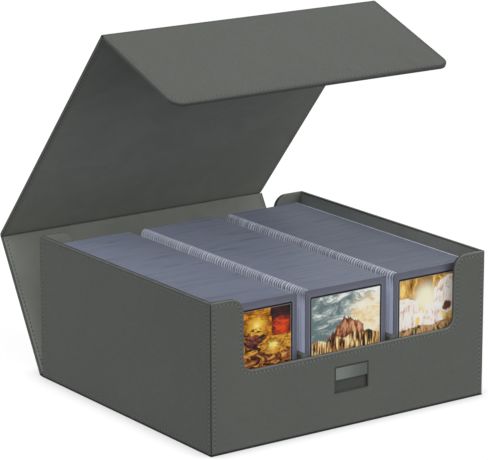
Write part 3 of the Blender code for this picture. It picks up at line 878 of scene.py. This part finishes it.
class LidPanel:
    """One lid panel, measured from the fold that carries it."""
    hem = TURN_IN
    # How much painted shade its rim gets, how far the painted shade of its edge reaches onto its face, how deep in its
    # edge the rim's painted shade starts, and how dull its seams are
    rim, lip, rim_start, dull = 1.0, 1.0, 0.60, 0.35
    # Painted shade marks of its leather: on its outer edge, on its inner edge, and in the line under its seam
    outer_dark, inner_dark, line_dark = 1.8, 0.2, 0.4
    # The same painted shade on the flap's edges, how much paler its left edge is, and what share of that its free edge
    # has halfway
    flap_dark, flap_paler, flap_side = 1.6, 1.5, 0.45
    # How soon a row's edge mark and rim mark count in full
    edge_gain, rim_gain = 10.0, 3.4
    # Painted light and shade on the lining: on the rear panel, less towards its far fold, and on the others
    rear_nap, rear_nap_fall, usual_nap = 2.3, 3.0, -0.5

    def __init__(self, name, fold, turned, start, end, free_end):
        self.name = name
        self.body = name
        self.matrix = Matrix.Translation(FOLDS[fold]) @ Matrix.Rotation(turned, 4, "X")
        self.start = start
        self.end = end
        self.free_end = free_end
        self.edge_radius = settings().wrap.lid_edge_radius
        self.seam_inset = settings().wrap.lid_seam_inset

    def at(self, u, v, depth):
        """A point on the panel, at a depth below its outer face."""
        return (u, -depth, v)

    def marks(self, u, v, edge, strip, rim, groove):
        """How pale and how dark a point is, from the values of its row: never paler, and darker as painted shade."""
        outer = min(1.0, self.edge_gain * edge)
        line = self.line_dark * groove
        if self.free_end:
            aside = min(1.0, (self.end - v) / settings().lid.flap_corner) if u < 0 else 0.0
            aside = max(aside, self.flap_side - self.flap_side * u / HALF_WIDTH)
            dark = max(outer * (self.flap_dark - self.flap_paler * aside), self.flap_dark * rim, line)
        elif u < 0:
            dark = max(self.outer_dark * outer, self.inner_dark * rim, line)
        else:
            dark = max(outer, self.outer_dark * min(1.0, self.rim_gain * rim))
        return 0.0, dark

    def nap(self, u, v):
        """The painted light, above 0, and painted shade, below 0, on the lining."""
        if self.name == "rear_panel":
            return self.rear_nap - self.rear_nap_fall * v / REAR_LENGTH
        return self.usual_nap

    def outline(self, depth, inset, hem=0.0, lining=False):
        """Points across and along the panel, each with 1 where a seam runs along it."""
        edge = HALF_WIDTH - inset
        start = self.start + hem
        fade = settings().wrap.edge_radius
        points = [(-edge, start, 0), (edge, start, 0), (edge, start + fade, 1)]
        if self.free_end:
            radius = settings().lid.flap_corner - inset
            top = self.end - inset
            points += both_ways(arc((edge - radius, top - radius), radius, 0, 90, 10))
        else:
            end = self.end - hem
            points += [(edge, end - fade, 1), (edge, end, 0), (-edge, end, 0), (-edge, end - fade, 1)]
        return points + [(-edge, start + fade, 1)]


def both_ways(right):
    """Seam points of a right half, and then of its mirror image."""
    return [(u, v, 1) for u, v in right] + [(-u, v, 1) for u, v in reversed(right)]


def all_walls():
    """The tray's four walls."""
    return [Wall("front", 0, HALF_DEPTH, HALF_WIDTH, True), Wall("back", 180, HALF_DEPTH, HALF_WIDTH, True),
            Wall("left", -90, HALF_WIDTH, HALF_DEPTH, False), Wall("right", 90, HALF_WIDTH, HALF_DEPTH, False)]


def all_lid_panels():
    """The lid's three panels, from the base round to the front."""
    return [LidPanel("rear_panel", "base_fold", REAR_TURN, FOLD_NEAR, REAR_LENGTH - FOLD_FAR, False),
            LidPanel("top_panel", "rear_fold", TOP_TURN, FOLD_NEAR, TOP_LENGTH - FOLD_NEAR, False),
            LidPanel("front_flap", "flap_fold", FLAP_TURN, FOLD_FAR, FLAP_LENGTH, True)]


def wrap_shape(panel):
    """The wrap of one panel: face, seam groove, rounded edges, and the turned rim on the inside."""
    wrap = settings().wrap
    seam, line, inside = panel.seam_inset, wrap.groove_width / 2, panel.rim
    loops, edges, shades = [], [], []

    def row(depth, inset, hem=0.0, edge=0.0, strip=0.0, rim=0.0, groove=0.0):
        """One loop, with how far it belongs to the edge, the strip along it, the rim inside and the seam's groove."""
        outline = panel.outline(depth, inset, hem)
        marks = [panel.marks(u, v, edge, strip, rim, groove * sewn) for u, v, sewn in outline]
        edges.append([rubbed for rubbed, _ in marks])
        shades.append([dark for _, dark in marks])
        loops.append([panel.at(u, v, depth + groove * sewn * wrap.groove_depth) for u, v, sewn in outline])

    # Rows near the edge carry the marks: painted shade along the seam strip and rim, and wear with painted highlight
    # on the rounded edge
    row(0.0, seam + wrap.groove_width)
    row(0.0, seam + line, strip=0.7)
    row(0.0, seam + line / 2, strip=0.8, groove=1.0)
    row(0.0, seam - line / 2, strip=0.8, groove=1.0)
    row(0.0, seam - line, strip=0.8)
    row(0.0, panel.edge_radius + wrap.lip * 2, strip=0.8)
    row(0.0, panel.edge_radius + wrap.lip, edge=panel.lip, strip=0.8)
    for share, (depth, inset) in zip((0.1, 0.7, 1.0, 1.0, 1.0, 1.0), quarter(panel.edge_radius)):
        row(depth, inset, edge=0.9 * share, strip=0.7 - 0.7 * share)
    row(PANEL * 0.30, 0.0, edge=0.9)
    row(PANEL * panel.rim_start, 0.0, edge=0.9 - 0.9 * inside, rim=inside)
    for depth, inset in reversed(quarter(wrap.inner_radius, 3)):
        row(PANEL - depth, inset, edge=1.0 - inside, rim=inside)
    row(PANEL, SKIN, SKIN, edge=0.1, rim=0.3 * inside)
    row(SKIN, SKIN, SKIN, rim=0.3 * inside)
    return Shape(loops, edge=edges, shade=shades)


def suede_shape(panel):
    """The lining of one panel, its edge rounded into the rim round it, with the panel's painted light and shade."""
    radius = settings().lid.suede_radius
    foot = PANEL - LINING
    face = PANEL + settings().lid.suede_rise
    rows = [(foot, panel.hem), (foot + radius, panel.hem)]
    rows += [(face - depth, panel.hem + inset) for depth, inset in reversed(quarter(radius, 3))]
    rows.append((face, panel.hem + radius * 3))
    outlines = [panel.outline(depth, inset, inset - panel.hem, True) for depth, inset in rows]
    loops = [[panel.at(u, v, depth) for u, v, _ in outline] for outline, (depth, _) in zip(outlines, rows)]
    return Shape(loops, shade=[[panel.nap(u, v) for u, v, _ in outline] for outline in outlines])


def cut(obj, loops):
    """Cut a lofted shape out of a piece, for good."""
    cutter = add_object("cutter", Shape(loops).mesh("cutter"))
    modifier = obj.modifiers.new("opening", "BOOLEAN")
    modifier.operation = "DIFFERENCE"
    modifier.object = cutter
    bpy.context.view_layer.update()
    evaluated = obj.evaluated_get(bpy.context.evaluated_depsgraph_get())
    opened = bpy.data.meshes.new_from_object(evaluated)
    obj.modifiers.clear()
    opened.set_sharp_from_angle(angle=SHARP)
    obj.data = opened
    bpy.data.objects.remove(cutter)


class CARDCASE_OT_walls(Operator):
    """Wrap the tray's four walls in leatherette, with the finger pull's opening in the front one"""
    bl_idname = "card_case.walls"
    bl_label = "Tray walls"

    def execute(self, context):
        for wall in all_walls():
            add_to_panel(wall, "_wrap", wrap_shape(wall), "leatherette", "leatherette", "_skin")
        low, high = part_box("finger_pull_liner")
        loops = []
        for depth, clearance in ((-SKIN, GAP), (0.0, GAP), (SKIN / 2, GAP / 2), (2 * SKIN, GAP / 2)):
            opening = rectangle(low.x - clearance, high.x + clearance, low.z - clearance, high.z + clearance)
            loops.append([(x, low.y + depth, z) for x, z in opening])
        cut(bpy.data.objects["front_wall_wrap"], loops)
        return {"FINISHED"}


class CARDCASE_OT_base(Operator):
    """Lay the base sheet under the tray, with its near-black edge of edge paint and painted shade"""
    bl_idname = "card_case.base"
    bl_label = "Base sheet"

    def execute(self, context):
        rim = settings().tray.base_rim
        rounding = quarter(rim / 3, 3)
        ledge = PANEL + GAP
        rows = rounding + [(rim - depth, inset) for depth, inset in reversed(rounding)]
        rows += [(rim, ledge), (BASE_TOP, ledge)]
        loops = [[(x, y, z) for x, y in rectangle(i - HALF_WIDTH, HALF_WIDTH - i, i - HALF_DEPTH, HALF_DEPTH)]
                 for z, i in rows]
        add_piece("base_sheet", Shape(loops), "edge_paint", ("base_skin", "base_board"))
        return {"FINISHED"}


class CARDCASE_OT_dividers(Operator):
    """Sleeve the two dividers in leatherette, with rounded tops"""
    bl_idname = "card_case.dividers"
    bl_label = "Dividers"

    def execute(self, context):
        radius = settings().tray.divider_radius
        for side in ("left", "right"):
            node = "divider_skin_" + side
            low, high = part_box(node)
            outline = arc((high.x - radius, high.z - radius), radius, 0, 90, 5)
            outline += arc((low.x + radius, high.z - radius), radius, 90, 180, 5)
            outline += [(low.x, low.z), (high.x, low.z)]
            middle_x, middle_z = (low.x + high.x) / 2, (low.z + high.z) / 2
            loops = []
            for y, inset in ((low.y, SKIN / 2), (low.y + SKIN / 2, 0.0), (high.y - SKIN / 2, 0.0), (high.y, SKIN / 2)):
                across, up = 1 - 2 * inset / (high.x - low.x), 1 - 2 * inset / (high.z - low.z)
                loops.append([(middle_x + (x - middle_x) * across, y, middle_z + (z - middle_z) * up)
                              for x, z in outline])
            add_piece("divider_wrap_" + side, Shape(loops), "leatherette",
                      (node, "divider_board_" + side))
        return {"FINISHED"}


class CARDCASE_OT_lid(Operator):
    """Wrap the rear panel, the top panel and the flap in leatherette"""
    bl_idname = "card_case.lid"
    bl_label = "Lid panels"

    def execute(self, context):
        for panel in all_lid_panels():
            add_to_panel(panel, "_wrap", wrap_shape(panel), "leatherette", "leatherette", "_skin")
        return {"FINISHED"}


class CARDCASE_OT_linings(Operator):
    """Line the walls, the floor and the lid with suede"""
    bl_idname = "card_case.linings"
    bl_label = "Suede lining"

    def execute(self, context):
        for panel in all_walls() + all_lid_panels():
            add_to_panel(panel, "_suede", suede_shape(panel), "suede", "lining", "_lining")
        low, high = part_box("floor_lining")
        rounding = reversed(quarter(settings().lid.suede_radius, 3))
        rows = [(low.z, 0.0)] + [(high.z - depth, inset) for depth, inset in rounding]
        loops = [[(x, y, z) for x, y in rectangle(low.x + i, high.x - i, low.y + i, high.y - i)] for z, i in rows]
        add_piece("floor_suede", Shape(loops), "suede", ("floor_lining",))
        return {"FINISHED"}


def fold_curve(start, corner, end, steps=12):
    """Points round a fold with the direction inwards at each, all in the plane across it."""
    curve = []
    for step in range(steps + 1):
        t = step / steps
        point = start * (1 - t) ** 2 + corner * (2 * t * (1 - t)) + end * t ** 2
        along = ((corner - start) * (1 - t) + (end - corner) * t).normalized()
        curve.append((point, Vector((0.0, -along.z, along.y))))
    return curve


def fold_shape(curve, outer, inner, radius, half_width, dark=0.0):
    """A thin strip round a fold between two depths, its ends rounded off, darker where it bends most."""
    ends = [(half_width - inset, outer + depth) for depth, inset in quarter(radius, 6) if outer + depth < inner]
    bend = [dark * math.sin(math.pi * i / (len(curve) - 1)) for i in range(len(curve))]
    loops = []
    for x, top in [(-x, top) for x, top in reversed(ends)] + ends:
        face = [point + inwards * top + Vector((x, 0, 0)) for point, inwards in curve]
        back = [point + inwards * inner + Vector((x, 0, 0)) for point, inwards in reversed(curve)]
        loops.append(face + back)
    return Shape(loops, shade=[bend + bend[::-1]] * len(loops))


class CARDCASE_OT_folds(Operator):
    """Bend the bare leatherette round the three folds, with a suede strip in each crease"""
    bl_idname = "card_case.folds"
    bl_label = "Folds"

    def execute(self, context):
        rear, top, flap = (Vector((0, -math.sin(turned), math.cos(turned)))
                           for turned in (REAR_TURN, TOP_TURN, FLAP_TURN))
        level = Vector((0, 1, 0))
        folds = (("base_fold", "tray", "rear_panel", level, rear, FOLD_FAR, FOLD_NEAR),
                 ("rear_fold", "rear_panel", "top_panel", rear, top, FOLD_FAR, FOLD_NEAR),
                 ("flap_fold", "top_panel", "front_flap", top, flap, FOLD_NEAR, FOLD_FAR))
        wrap = settings().wrap
        for name, before, after, way_in, way_out, reach_in, reach_out in folds:
            corner = FOLDS[name]
            start = corner - way_in * reach_in
            end = corner + way_out * reach_out
            curve = fold_curve(start, corner, end)
            skin = fold_shape(curve, 0.0, wrap.fold_skin, wrap.lid_edge_radius, HALF_WIDTH, 1.0)
            crease = fold_shape(curve, wrap.fold_skin, SKIN, wrap.inner_radius, HALF_WIDTH - TURN_IN)
            for obj in (add_piece(name + "_skin", skin, "leatherette", (name + "_strip",), None),
                        add_piece(name + "_crease", crease, "suede", (), None)):
                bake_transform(obj)
        return {"FINISHED"}


def seam_runs(outline):
    """The stretches of an outline where a seam runs, split at sharp corners."""
    first = next((i for i, point in enumerate(outline) if point[2] and not outline[i - 1][2]), 0)
    turned = outline[first:] + outline[:first]
    runs = [[]]
    for i, (u, v, seam) in enumerate(turned):
        if not seam:
            if runs[-1]:
                runs.append([])
            continue
        here = Vector((u, v))
        runs[-1].append(here)
        after = turned[(i + 1) % len(turned)]
        if len(runs[-1]) > 1 and after[2]:
            coming = here - runs[-1][-2]
            going = Vector(after[:2]) - here
            if coming.length and going.length and coming.angle(going) > math.radians(60):
                runs.append([here])
    return [run for run in runs if len(run) > 1]


def along_run(run, distance):
    """The point and direction at a distance along a run."""
    for first, second in zip(run, run[1:]):
        length = (second - first).length
        if distance <= length:
            break
        distance -= length
    way = (second - first).normalized()
    return first + way * min(distance, length), way


# Along a stitch: share of its length, its swell, and how dark it is where it dives, as painted shade
STITCH = ((-0.5, 0.45, 1.0), (-0.36, 0.85, 0.25), (0.0, 1.0, 0.0), (0.36, 0.85, 0.25), (0.5, 0.45, 1.0))
# In thicknesses of the thread: how high a stitch arches, how fast it falls to its ends, and half its height
ARCH, ARCH_FALL, HALF_HIGH = 0.12, 0.6, 0.26
# Up a needle hole: share of its size, height in shares of its width
HOLE = ((1.0, -0.3), (1.0, 0.02), (0.55, 0.03))
# How long it is in stitch gaps, and how wide in thicknesses of the thread
HOLE_LENGTH, HOLE_WIDTH = 1.3, 1.5


def add_stitch(shape, at, centre, way, length, dull, pale):
    """One arched stitch, sunk into a panel's face."""
    wrap = settings().wrap
    thickness = wrap.thread
    aside = Vector((-way.y, way.x))
    loops = []
    for share, swell, _ in STITCH:
        height = thickness * (ARCH - ARCH_FALL * share * share) - wrap.groove_depth
        middle = centre + way * (length * share)
        loops.append([at(*(middle + aside * (cosine * swell * thickness / 2)),
                         height + sine * swell * thickness * HALF_HIGH) for cosine, sine in ring(6)])
    shape.loft(loops, edge=[max(dark, dull) for _, _, dark in STITCH], shade=pale)


def add_needle_hole(shape, at, centre, way, lift, dark):
    """The dark oval between two stitches: painted shade in the needle hole."""
    wrap = settings().wrap
    length, width = wrap.stitch_gap * HOLE_LENGTH, wrap.thread * HOLE_WIDTH
    aside = Vector((-way.y, way.x))
    loops = []
    for share, rise in HOLE:
        points = [centre + way * (cosine * share * length / 2) + aside * (sine * share * width / 2)
                  for cosine, sine in ring(8)]
        loops.append([at(*point, lift + width * rise) for point in points])
    shape.loft(loops, edge=dark)


def seam_shape(panel, inside):
    """Every stitch and needle hole of one face of a panel, as pale as the suede on the inside."""
    wrap = settings().wrap
    lift = settings().lid.suede_rise if inside else -wrap.groove_depth
    dull, pale, hole = (0.0, 1.0, 0.4) if inside else (panel.dull, 0.0, 1.0)

    def at(u, v, height):
        return panel.at(u, v, PANEL + height if inside else -height)

    shape = Shape()
    for run in seam_runs(panel.outline(0.0, panel.seam_inset)):
        length = sum((b - a).length for a, b in zip(run, run[1:]))
        count = max(1, round(length / wrap.stitch_pitch))
        pitch = length / count
        for number in range(count):
            add_stitch(shape, at, *along_run(run, pitch * (number + 0.5)), pitch - wrap.stitch_gap * 0.6, dull, pale)
            if number:
                add_needle_hole(shape, at, *along_run(run, pitch * number), lift, hole)
    return shape


class CARDCASE_OT_seams(Operator):
    """Stitch the free edges of the walls and the lid"""
    bl_idname = "card_case.seams"
    bl_label = "Seams"

    def execute(self, context):
        for panel in all_walls() + all_lid_panels():
            add_to_panel(panel, "_stitching", seam_shape(panel, False), "thread", "leatherette")
        for panel in all_lid_panels():
            add_to_panel(panel, "_inner_stitching", seam_shape(panel, True), "thread", "leatherette")
        return {"FINISHED"}


class CARDCASE_OT_magnet_marks(Operator):
    """Raise the faint discs that the magnets press into the front wall and the flap"""
    bl_idname = "card_case.magnet_marks"
    bl_label = "Magnet marks"
    # The dome of a swelling, from its foot below the face: share of its radius, share of its height
    dome = ((1.0, -0.6), (1.0, -0.02), (0.92, 0.10), (0.84, 0.5), (0.76, 0.86), (0.64, 1.0), (0.3, 1.06))

    def execute(self, context):
        tray = settings().tray
        for panel, stem in ((all_walls()[0], "tray_magnet_"), (all_lid_panels()[2], "flap_magnet_")):
            shape = Shape()
            back = panel.matrix.inverted()
            for number in range(1, 5):
                low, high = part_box(stem + str(number))
                u, _, v = back @ ((low + high) / 2)
                shape.loft([[panel.at(u + tray.magnet_mark * share * cosine, v + tray.magnet_mark * share * sine,
                                      -rise * tray.magnet_swell) for cosine, sine in ring(36)]
                            for share, rise in self.dome])
            add_to_panel(panel, "_magnet_marks", shape, "leatherette", "leatherette")
        return {"FINISHED"}


def dress_node(name, finish_name, bevel=0.0):
    """Give a CAD node its finish, and soften its edges."""
    obj = frame["nodes"][name]
    obj.data.materials.clear()
    obj.data.materials.append(finish(finish_name))
    if bevel:
        modifier = obj.modifiers.new("edges", "BEVEL")
        modifier.width = bevel
        modifier.segments = 2
        modifier.limit_method = "ANGLE"


class CARDCASE_OT_hardware(Operator):
    """Finish the finger pull, the nameplate, the boards and the magnets"""
    bl_idname = "card_case.hardware"
    bl_label = "Finger pull, boards and magnets"

    def execute(self, context):
        dress_node("finger_pull_liner", "pull_lining", GAP / 3)
        dress_node("nameplate", "nameplate", GAP / 2)
        dress_node("floor_skin", "leatherette")
        for name in frame["nodes"]:
            if "magnet" in name:
                dress_node(name, "magnet")
            elif name.endswith("board"):
                dress_node(name, "grey_board")
        return {"FINISHED"}


def bundle_sizes(count, draw):
    """Sleeves standing in small bundles: how many in each."""
    sizes = []
    while sum(sizes) < count:
        sizes.append(draw.choice(BUNDLES))
    sizes[-1] -= sum(sizes) - count
    return [sleeves for sleeves in sizes if sleeves]


class CARDCASE_OT_rows(Operator):
    """Stand the three rows of sleeved cards in the tray, sleeve by sleeve"""
    bl_idname = "card_case.rows"
    bl_label = "Sleeved rows"
    # How light the first two sleeves of a bundle are at their sides, the first dark as painted shade in the line
    # between bundles, and the least that the others are
    first_ribs = (0.08, 0.70)
    least_rib = 0.82
    # Now and then a sleeve is darker or paler on top: by how much, and how often
    odd_tops = ((0.0, -0.16, 0.12), (18, 2, 1))
    # How far a bundle, and a sleeve in it, may have sunk at most
    bundle_sink, sleeve_sink = 0.00004, 0.00003
    # Across a sleeve, from front to back: place, depth in the line beside it, share of its tone
    ridge = ((0.0, 1.0, 0.5), (0.25, 0.0, 1.0), (0.75, 0.0, 1.0), (1.0, 1.0, 0.5))

    def execute(self, context):
        cards = settings().cards
        for number, name in enumerate(ROWS):
            node = "sleeved_cards_" + name
            far_side = cards.far_side if number < 2 else 1.0
            tones = (cards.row_fronts[number], cards.row_backs[number], cards.row_bends[number])
            shape = self.row_shape(node, random.Random(number + 1), tones, far_side)
            add_piece("sleeved_row_" + name, shape, "sleeve", (node,))
        return {"FINISHED"}

    def row_shape(self, node, draw, tones, far_side):
        """One row: a ridge for each sleeve, plain on top, ribbed and pale where the margins stand empty, with painted
        light and glow on the margins and painted light and shade on top.
        """
        cards = settings().cards
        low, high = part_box(node)
        count = round((high.y - low.y) / cards.sleeve_pitch)
        pitch = (high.y - low.y) / count
        middle = 0.5 * (low.x + high.x)
        loops, edges, shades = [], [], []
        y = low.y
        for bundle in bundle_sizes(count, draw):
            sunk = draw.uniform(0.0, self.bundle_sink)
            for number in range(bundle):
                crown = math.sin(math.pi * (number + 0.5) / bundle)
                dip = cards.bundle_dip * (1 - crown) * draw.uniform(0.7, 1.0)
                sink = sunk + draw.uniform(0.0, self.sleeve_sink)
                # Painted light and shade on top, from front to back, and painted glow at the margins, stronger towards
                # the back
                back = (y - low.y) / (high.y - low.y)
                top = tones[0] + (tones[1] - tones[0]) * back ** tones[2]
                top += draw.choices(*self.odd_tops)[0] + draw.uniform(-0.03, 0.03)
                rib = self.first_ribs[number] if number < 2 else draw.uniform(self.least_rib, 1.0)
                clear = 1.0 + cards.back_glow * back * draw.uniform(0.7, 1.3)
                for place, groove, tone in self.ridge:
                    if place == 0.0 and loops:
                        continue
                    outline = self.outline(low, high, dip + groove * cards.groove, sink + groove * cards.top_groove)
                    loops.append([(x, y + pitch * place, z) for x, z, _ in outline])
                    edges.append([clear if side == 1.0 and x < middle else min(side, 1.0) for x, _, side in outline])
                    shades.append([self.tone(x > middle, side, top, rib * tone, far_side) for x, _, side in outline])
                y += pitch
        return Shape(loops, edge=edges, shade=shades)

    def tone(self, far, side, top, rib, far_side):
        """How light a point of a sleeve is: on top, on a ribbed margin, or on the plain side below it. The far side of
        the two left rows gets painted shade.
        """
        if side == 0.0:
            return top
        if far and far_side == 1.0:
            return 1.0
        return (rib if side == 1.0 else 1.0) * (far_side if far else 1.0)

    def outline(self, low, high, tuck, sink):
        """A sleeve's outline: x, z, and 0 on top, 1 at its empty margins, 2 on its plain sides."""
        corner = settings().cards.sleeve_corner
        left, right, top = low.x + tuck, high.x - tuck, high.z - sink
        waist = top - corner * 3
        points = [(left, low.z, 2.0), (right, low.z, 2.0), (right, waist, 2.0)]
        points += [(x, z, 1.0) for x, z in arc((right - corner, top - corner), corner, 0, 86, 6)]
        points += [(high.x - corner * 1.12 - tuck, top, 0.0), (low.x + corner * 1.12 + tuck, top, 0.0)]
        points += [(x, z, 1.0) for x, z in arc((left + corner, top - corner), corner, 94, 180, 6)]
        return points + [(left, waist, 2.0)]


class CARDCASE_OT_front_cards(Operator):
    """Stand a sleeve and a printed card in front of each row"""
    bl_idname = "card_case.front_cards"
    bl_label = "Front cards"

    def execute(self, context):
        for name, finish_name in ROWS.items():
            sleeve, card = "front_sleeve_" + name, "front_card_" + name
            low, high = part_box(card)
            add_piece("clear_sleeve_" + name, self.sleeve_shape(sleeve, low, high), "sleeve_face", (sleeve,))
            add_piece("printed_card_" + name, self.card_shape(high - low), finish_name, (card,), "tray",
                      Matrix.Translation(low))
        return {"FINISHED"}

    def sleeve_shape(self, sleeve, card_low, card_high):
        """A sleeve's margin with a welded line beside the card, open over the card."""
        low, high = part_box(sleeve)
        step = (high.y - low.y) / 8
        front = low.y + step
        # Each row: share of the way in to the card, place from front to back, how far it is welded
        rows = ((0.0, high.y, 0.3), (0.0, low.y + 2 * step, 0.3), (0.02, front, 0.3), (0.08, front, 0.0),
                (0.80, front, 0.0), (0.85, low.y, 1.0), (0.96, low.y, 1.0), (0.97, front, 0.0),
                (0.97, high.y - step, 0.0))
        upright = [1.0, 0.8, 0.4, 0.1, 0.0]
        weld = (upright + upright[::-1]) * 2
        loops = []
        for share, y, _ in rows:
            sides = [a + (b - a) * share for a, b in ((low.x, card_low.x), (high.x, card_high.x),
                                                      (low.z, card_low.z), (high.z, card_high.z))]
            loops.append([(x, y, z) for x, z in rounded_rectangle(*sides, settings().cards.card_corner)])
        return Shape(loops, edge=[[mark * welded for mark in weld] for _, _, welded in rows])

    def card_shape(self, extent):
        """A card with its corner at the origin: dark border, pale line, then the picture."""
        cards = settings().cards
        border, line = cards.border, cards.frame_line
        # Each row: depth, inset, and whether it belongs to the border or to the pale line
        rows = ((extent.y, 0.0, 1.0, 0.0), (0.0, 0.0, 1.0, 0.0), (0.0, border, 1.0, 0.0),
                (0.0, border + line * 0.2, 0.0, 1.0), (0.0, border + line, 0.0, 1.0),
                (0.0, border + line * 1.2, 0.0, 0.0))
        loops = []
        for y, inset, _, _ in rows:
            corner = max(cards.card_corner - inset, line / 2)
            outline = rounded_rectangle(inset, extent.x - inset, inset, extent.z - inset, corner, 6)
            loops.append([(x, y, z) for x, z in outline])
        return Shape(loops, edge=[row[2] for row in rows], shade=[row[3] for row in rows])


def toward(azimuth, elevation):
    """The direction from the case to a lamp or the camera, measured from the front."""
    return Vector((math.sin(azimuth) * math.cos(elevation), -math.cos(azimuth) * math.cos(elevation),
                   math.sin(elevation)))


def show_backdrop(tree, output, lit, seen):
    """One shader as it lights the case, and another where the camera, a reflection or a clear piece looks at it."""
    path = tree.add("ShaderNodeLightPath").outputs
    camera, glossy, clear = (Value(tree, path[f"Is {ray} Ray"]) for ray in ("Camera", "Glossy", "Transmission"))
    looked_at = tree.math("MAXIMUM", tree.math("MAXIMUM", camera, glossy), clear)
    both = tree.result(0, "ShaderNodeMixShader", {0: looked_at, 1: lit, 2: seen})
    tree.fill(tree.nodes[output].inputs["Surface"], both)


class CARDCASE_OT_stage(Operator):
    """Set the camera, the lamps, the even light and the pale floor"""
    bl_idname = "card_case.stage"
    bl_label = "Stage"
    # The floor's half width, and how far from the case its painted contact shadow reaches
    floor_reach = 6.0
    contact_reach = 0.018

    def execute(self, context):
        stage = settings().stage
        self.set_camera(context.scene, stage)
        for name in ("key", "fill", "side"):
            self.add_lamp(name + "_lamp", *(getattr(stage, name + part) for part in ("", "_azimuth", "_elevation")),
                          stage.spread)
        self.set_world(context.scene, stage)
        self.add_floor(stage)
        context.scene.view_settings.view_transform = "Standard"
        return {"FINISHED"}

    def set_camera(self, scene, stage):
        """The camera at the photographed angle."""
        back = toward(stage.azimuth, stage.elevation)
        level = Vector((0, 0, 1)).cross(back).normalized()
        above = back.cross(level)
        across = level * math.cos(stage.roll) + above * math.sin(stage.roll)
        up = above * math.cos(stage.roll) - level * math.sin(stage.roll)
        data = bpy.data.cameras.new("camera")
        data.lens = stage.lens
        turned = Matrix((across, up, back)).transposed().to_4x4()
        place = Matrix.Translation(Vector(stage.target) + back * stage.distance)
        scene.camera = add_object("camera", data, place @ turned)

    def add_lamp(self, name, strength, azimuth, elevation, spread):
        """A broad soft lamp, far away."""
        data = bpy.data.lights.new(name, "SUN")
        data.energy = strength
        data.angle = spread
        lamp = add_object(name, data)
        lamp.rotation_euler = toward(azimuth, elevation).to_track_quat("Z", "Y").to_euler()

    def set_world(self, scene, stage):
        """Even light from all round, and plain white behind the case."""
        world = bpy.data.worlds.new("studio")
        world.use_nodes = True
        tree = Tree(world.node_tree)
        light = tree.nodes["Background"]
        light.inputs["Strength"].default_value = stage.ambient
        tree.fill(light.inputs["Color"], WHITE)
        white = tree.result(0, "ShaderNodeBackground", {"Color": WHITE, "Strength": 1.0})
        show_backdrop(tree, "World Output", Value(tree, light.outputs[0]), white)
        scene.world = world

    def add_floor(self, stage):
        """A plain pale floor that keeps the case's shadow."""
        mesh = bpy.data.meshes.new("floor")
        half = self.floor_reach
        mesh.from_pydata([(x, y, 0) for x, y in rectangle(-half, half, -half, half)], [], [(0, 1, 2, 3)])
        material = bpy.data.materials.new("floor")
        material.use_nodes = True
        tree = Tree(material.node_tree)
        tree.nodes.remove(tree.nodes["Principled BSDF"])
        pale = tree.result(0, "ShaderNodeBsdfDiffuse", {"Color": stage.floor_colour})
        shade = tree.result(0, "ShaderNodeBsdfDiffuse", {"Color": stage.floor_shade})
        # The glow dims beside the case: a painted contact shadow
        open_sky = tree.result("AO", "ShaderNodeAmbientOcclusion", {"Distance": self.contact_reach}, samples=8)
        lift = tree.between(open_sky, 0.3, 1.0, stage.floor_glow - stage.contact, stage.floor_glow)
        glow = tree.result(0, "ShaderNodeEmission", {"Color": WHITE, "Strength": lift})
        seen = tree.result(0, "ShaderNodeAddShader", {0: shade, 1: glow})
        show_backdrop(tree, "Material Output", pale, seen)
        mesh.materials.append(material)
        floor = add_object("floor", mesh)


OPERATORS = (CARDCASE_OT_stage, CARDCASE_OT_base, CARDCASE_OT_walls, CARDCASE_OT_dividers, CARDCASE_OT_lid,
             CARDCASE_OT_linings, CARDCASE_OT_folds, CARDCASE_OT_seams, CARDCASE_OT_magnet_marks,
             CARDCASE_OT_hardware, CARDCASE_OT_rows, CARDCASE_OT_front_cards)


class CARDCASE_PT_case(Panel):
    """The case's settings and the steps that build it"""
    bl_idname = "CARDCASE_PT_case"
    bl_label = "Card case"
    bl_space_type = "VIEW_3D"
    bl_region_type = "UI"
    bl_category = "Card case"

    def draw(self, context):
        for operator in OPERATORS:
            self.layout.operator(operator.bl_idname)
        case = context.scene.card_case
        for group in (case.stage, case.wrap, case.tray, case.lid, case.cards):
            box = self.layout.box()
            for name in group.__annotations__:
                box.prop(group, name)


CLASSES = (CARDCASE_PG_stage, CARDCASE_PG_wrap, CARDCASE_PG_tray, CARDCASE_PG_lid, CARDCASE_PG_cards,
           CARDCASE_PG_settings, *OPERATORS, CARDCASE_PT_case)


def register():
    """Make the settings, the steps and the panel known to Blender."""
    for cls in CLASSES:
        bpy.utils.register_class(cls)
    bpy.types.Scene.card_case = PointerProperty(type=CARDCASE_PG_settings)


def unregister():
    """Take them away again."""
    del bpy.types.Scene.card_case
    for cls in reversed(CLASSES):
        bpy.utils.unregister_class(cls)


def main():
    """Build the dressed case."""
    register()
    bpy.ops.card_case.stage()
    bpy.ops.card_case.base()
    bpy.ops.card_case.walls()
    bpy.ops.card_case.dividers()
    bpy.ops.card_case.lid()
    bpy.ops.card_case.linings()
    bpy.ops.card_case.folds()
    bpy.ops.card_case.seams()
    bpy.ops.card_case.magnet_marks()
    bpy.ops.card_case.hardware()
    bpy.ops.card_case.rows()
    bpy.ops.card_case.front_cards()


if __name__ == "__main__":
    main()
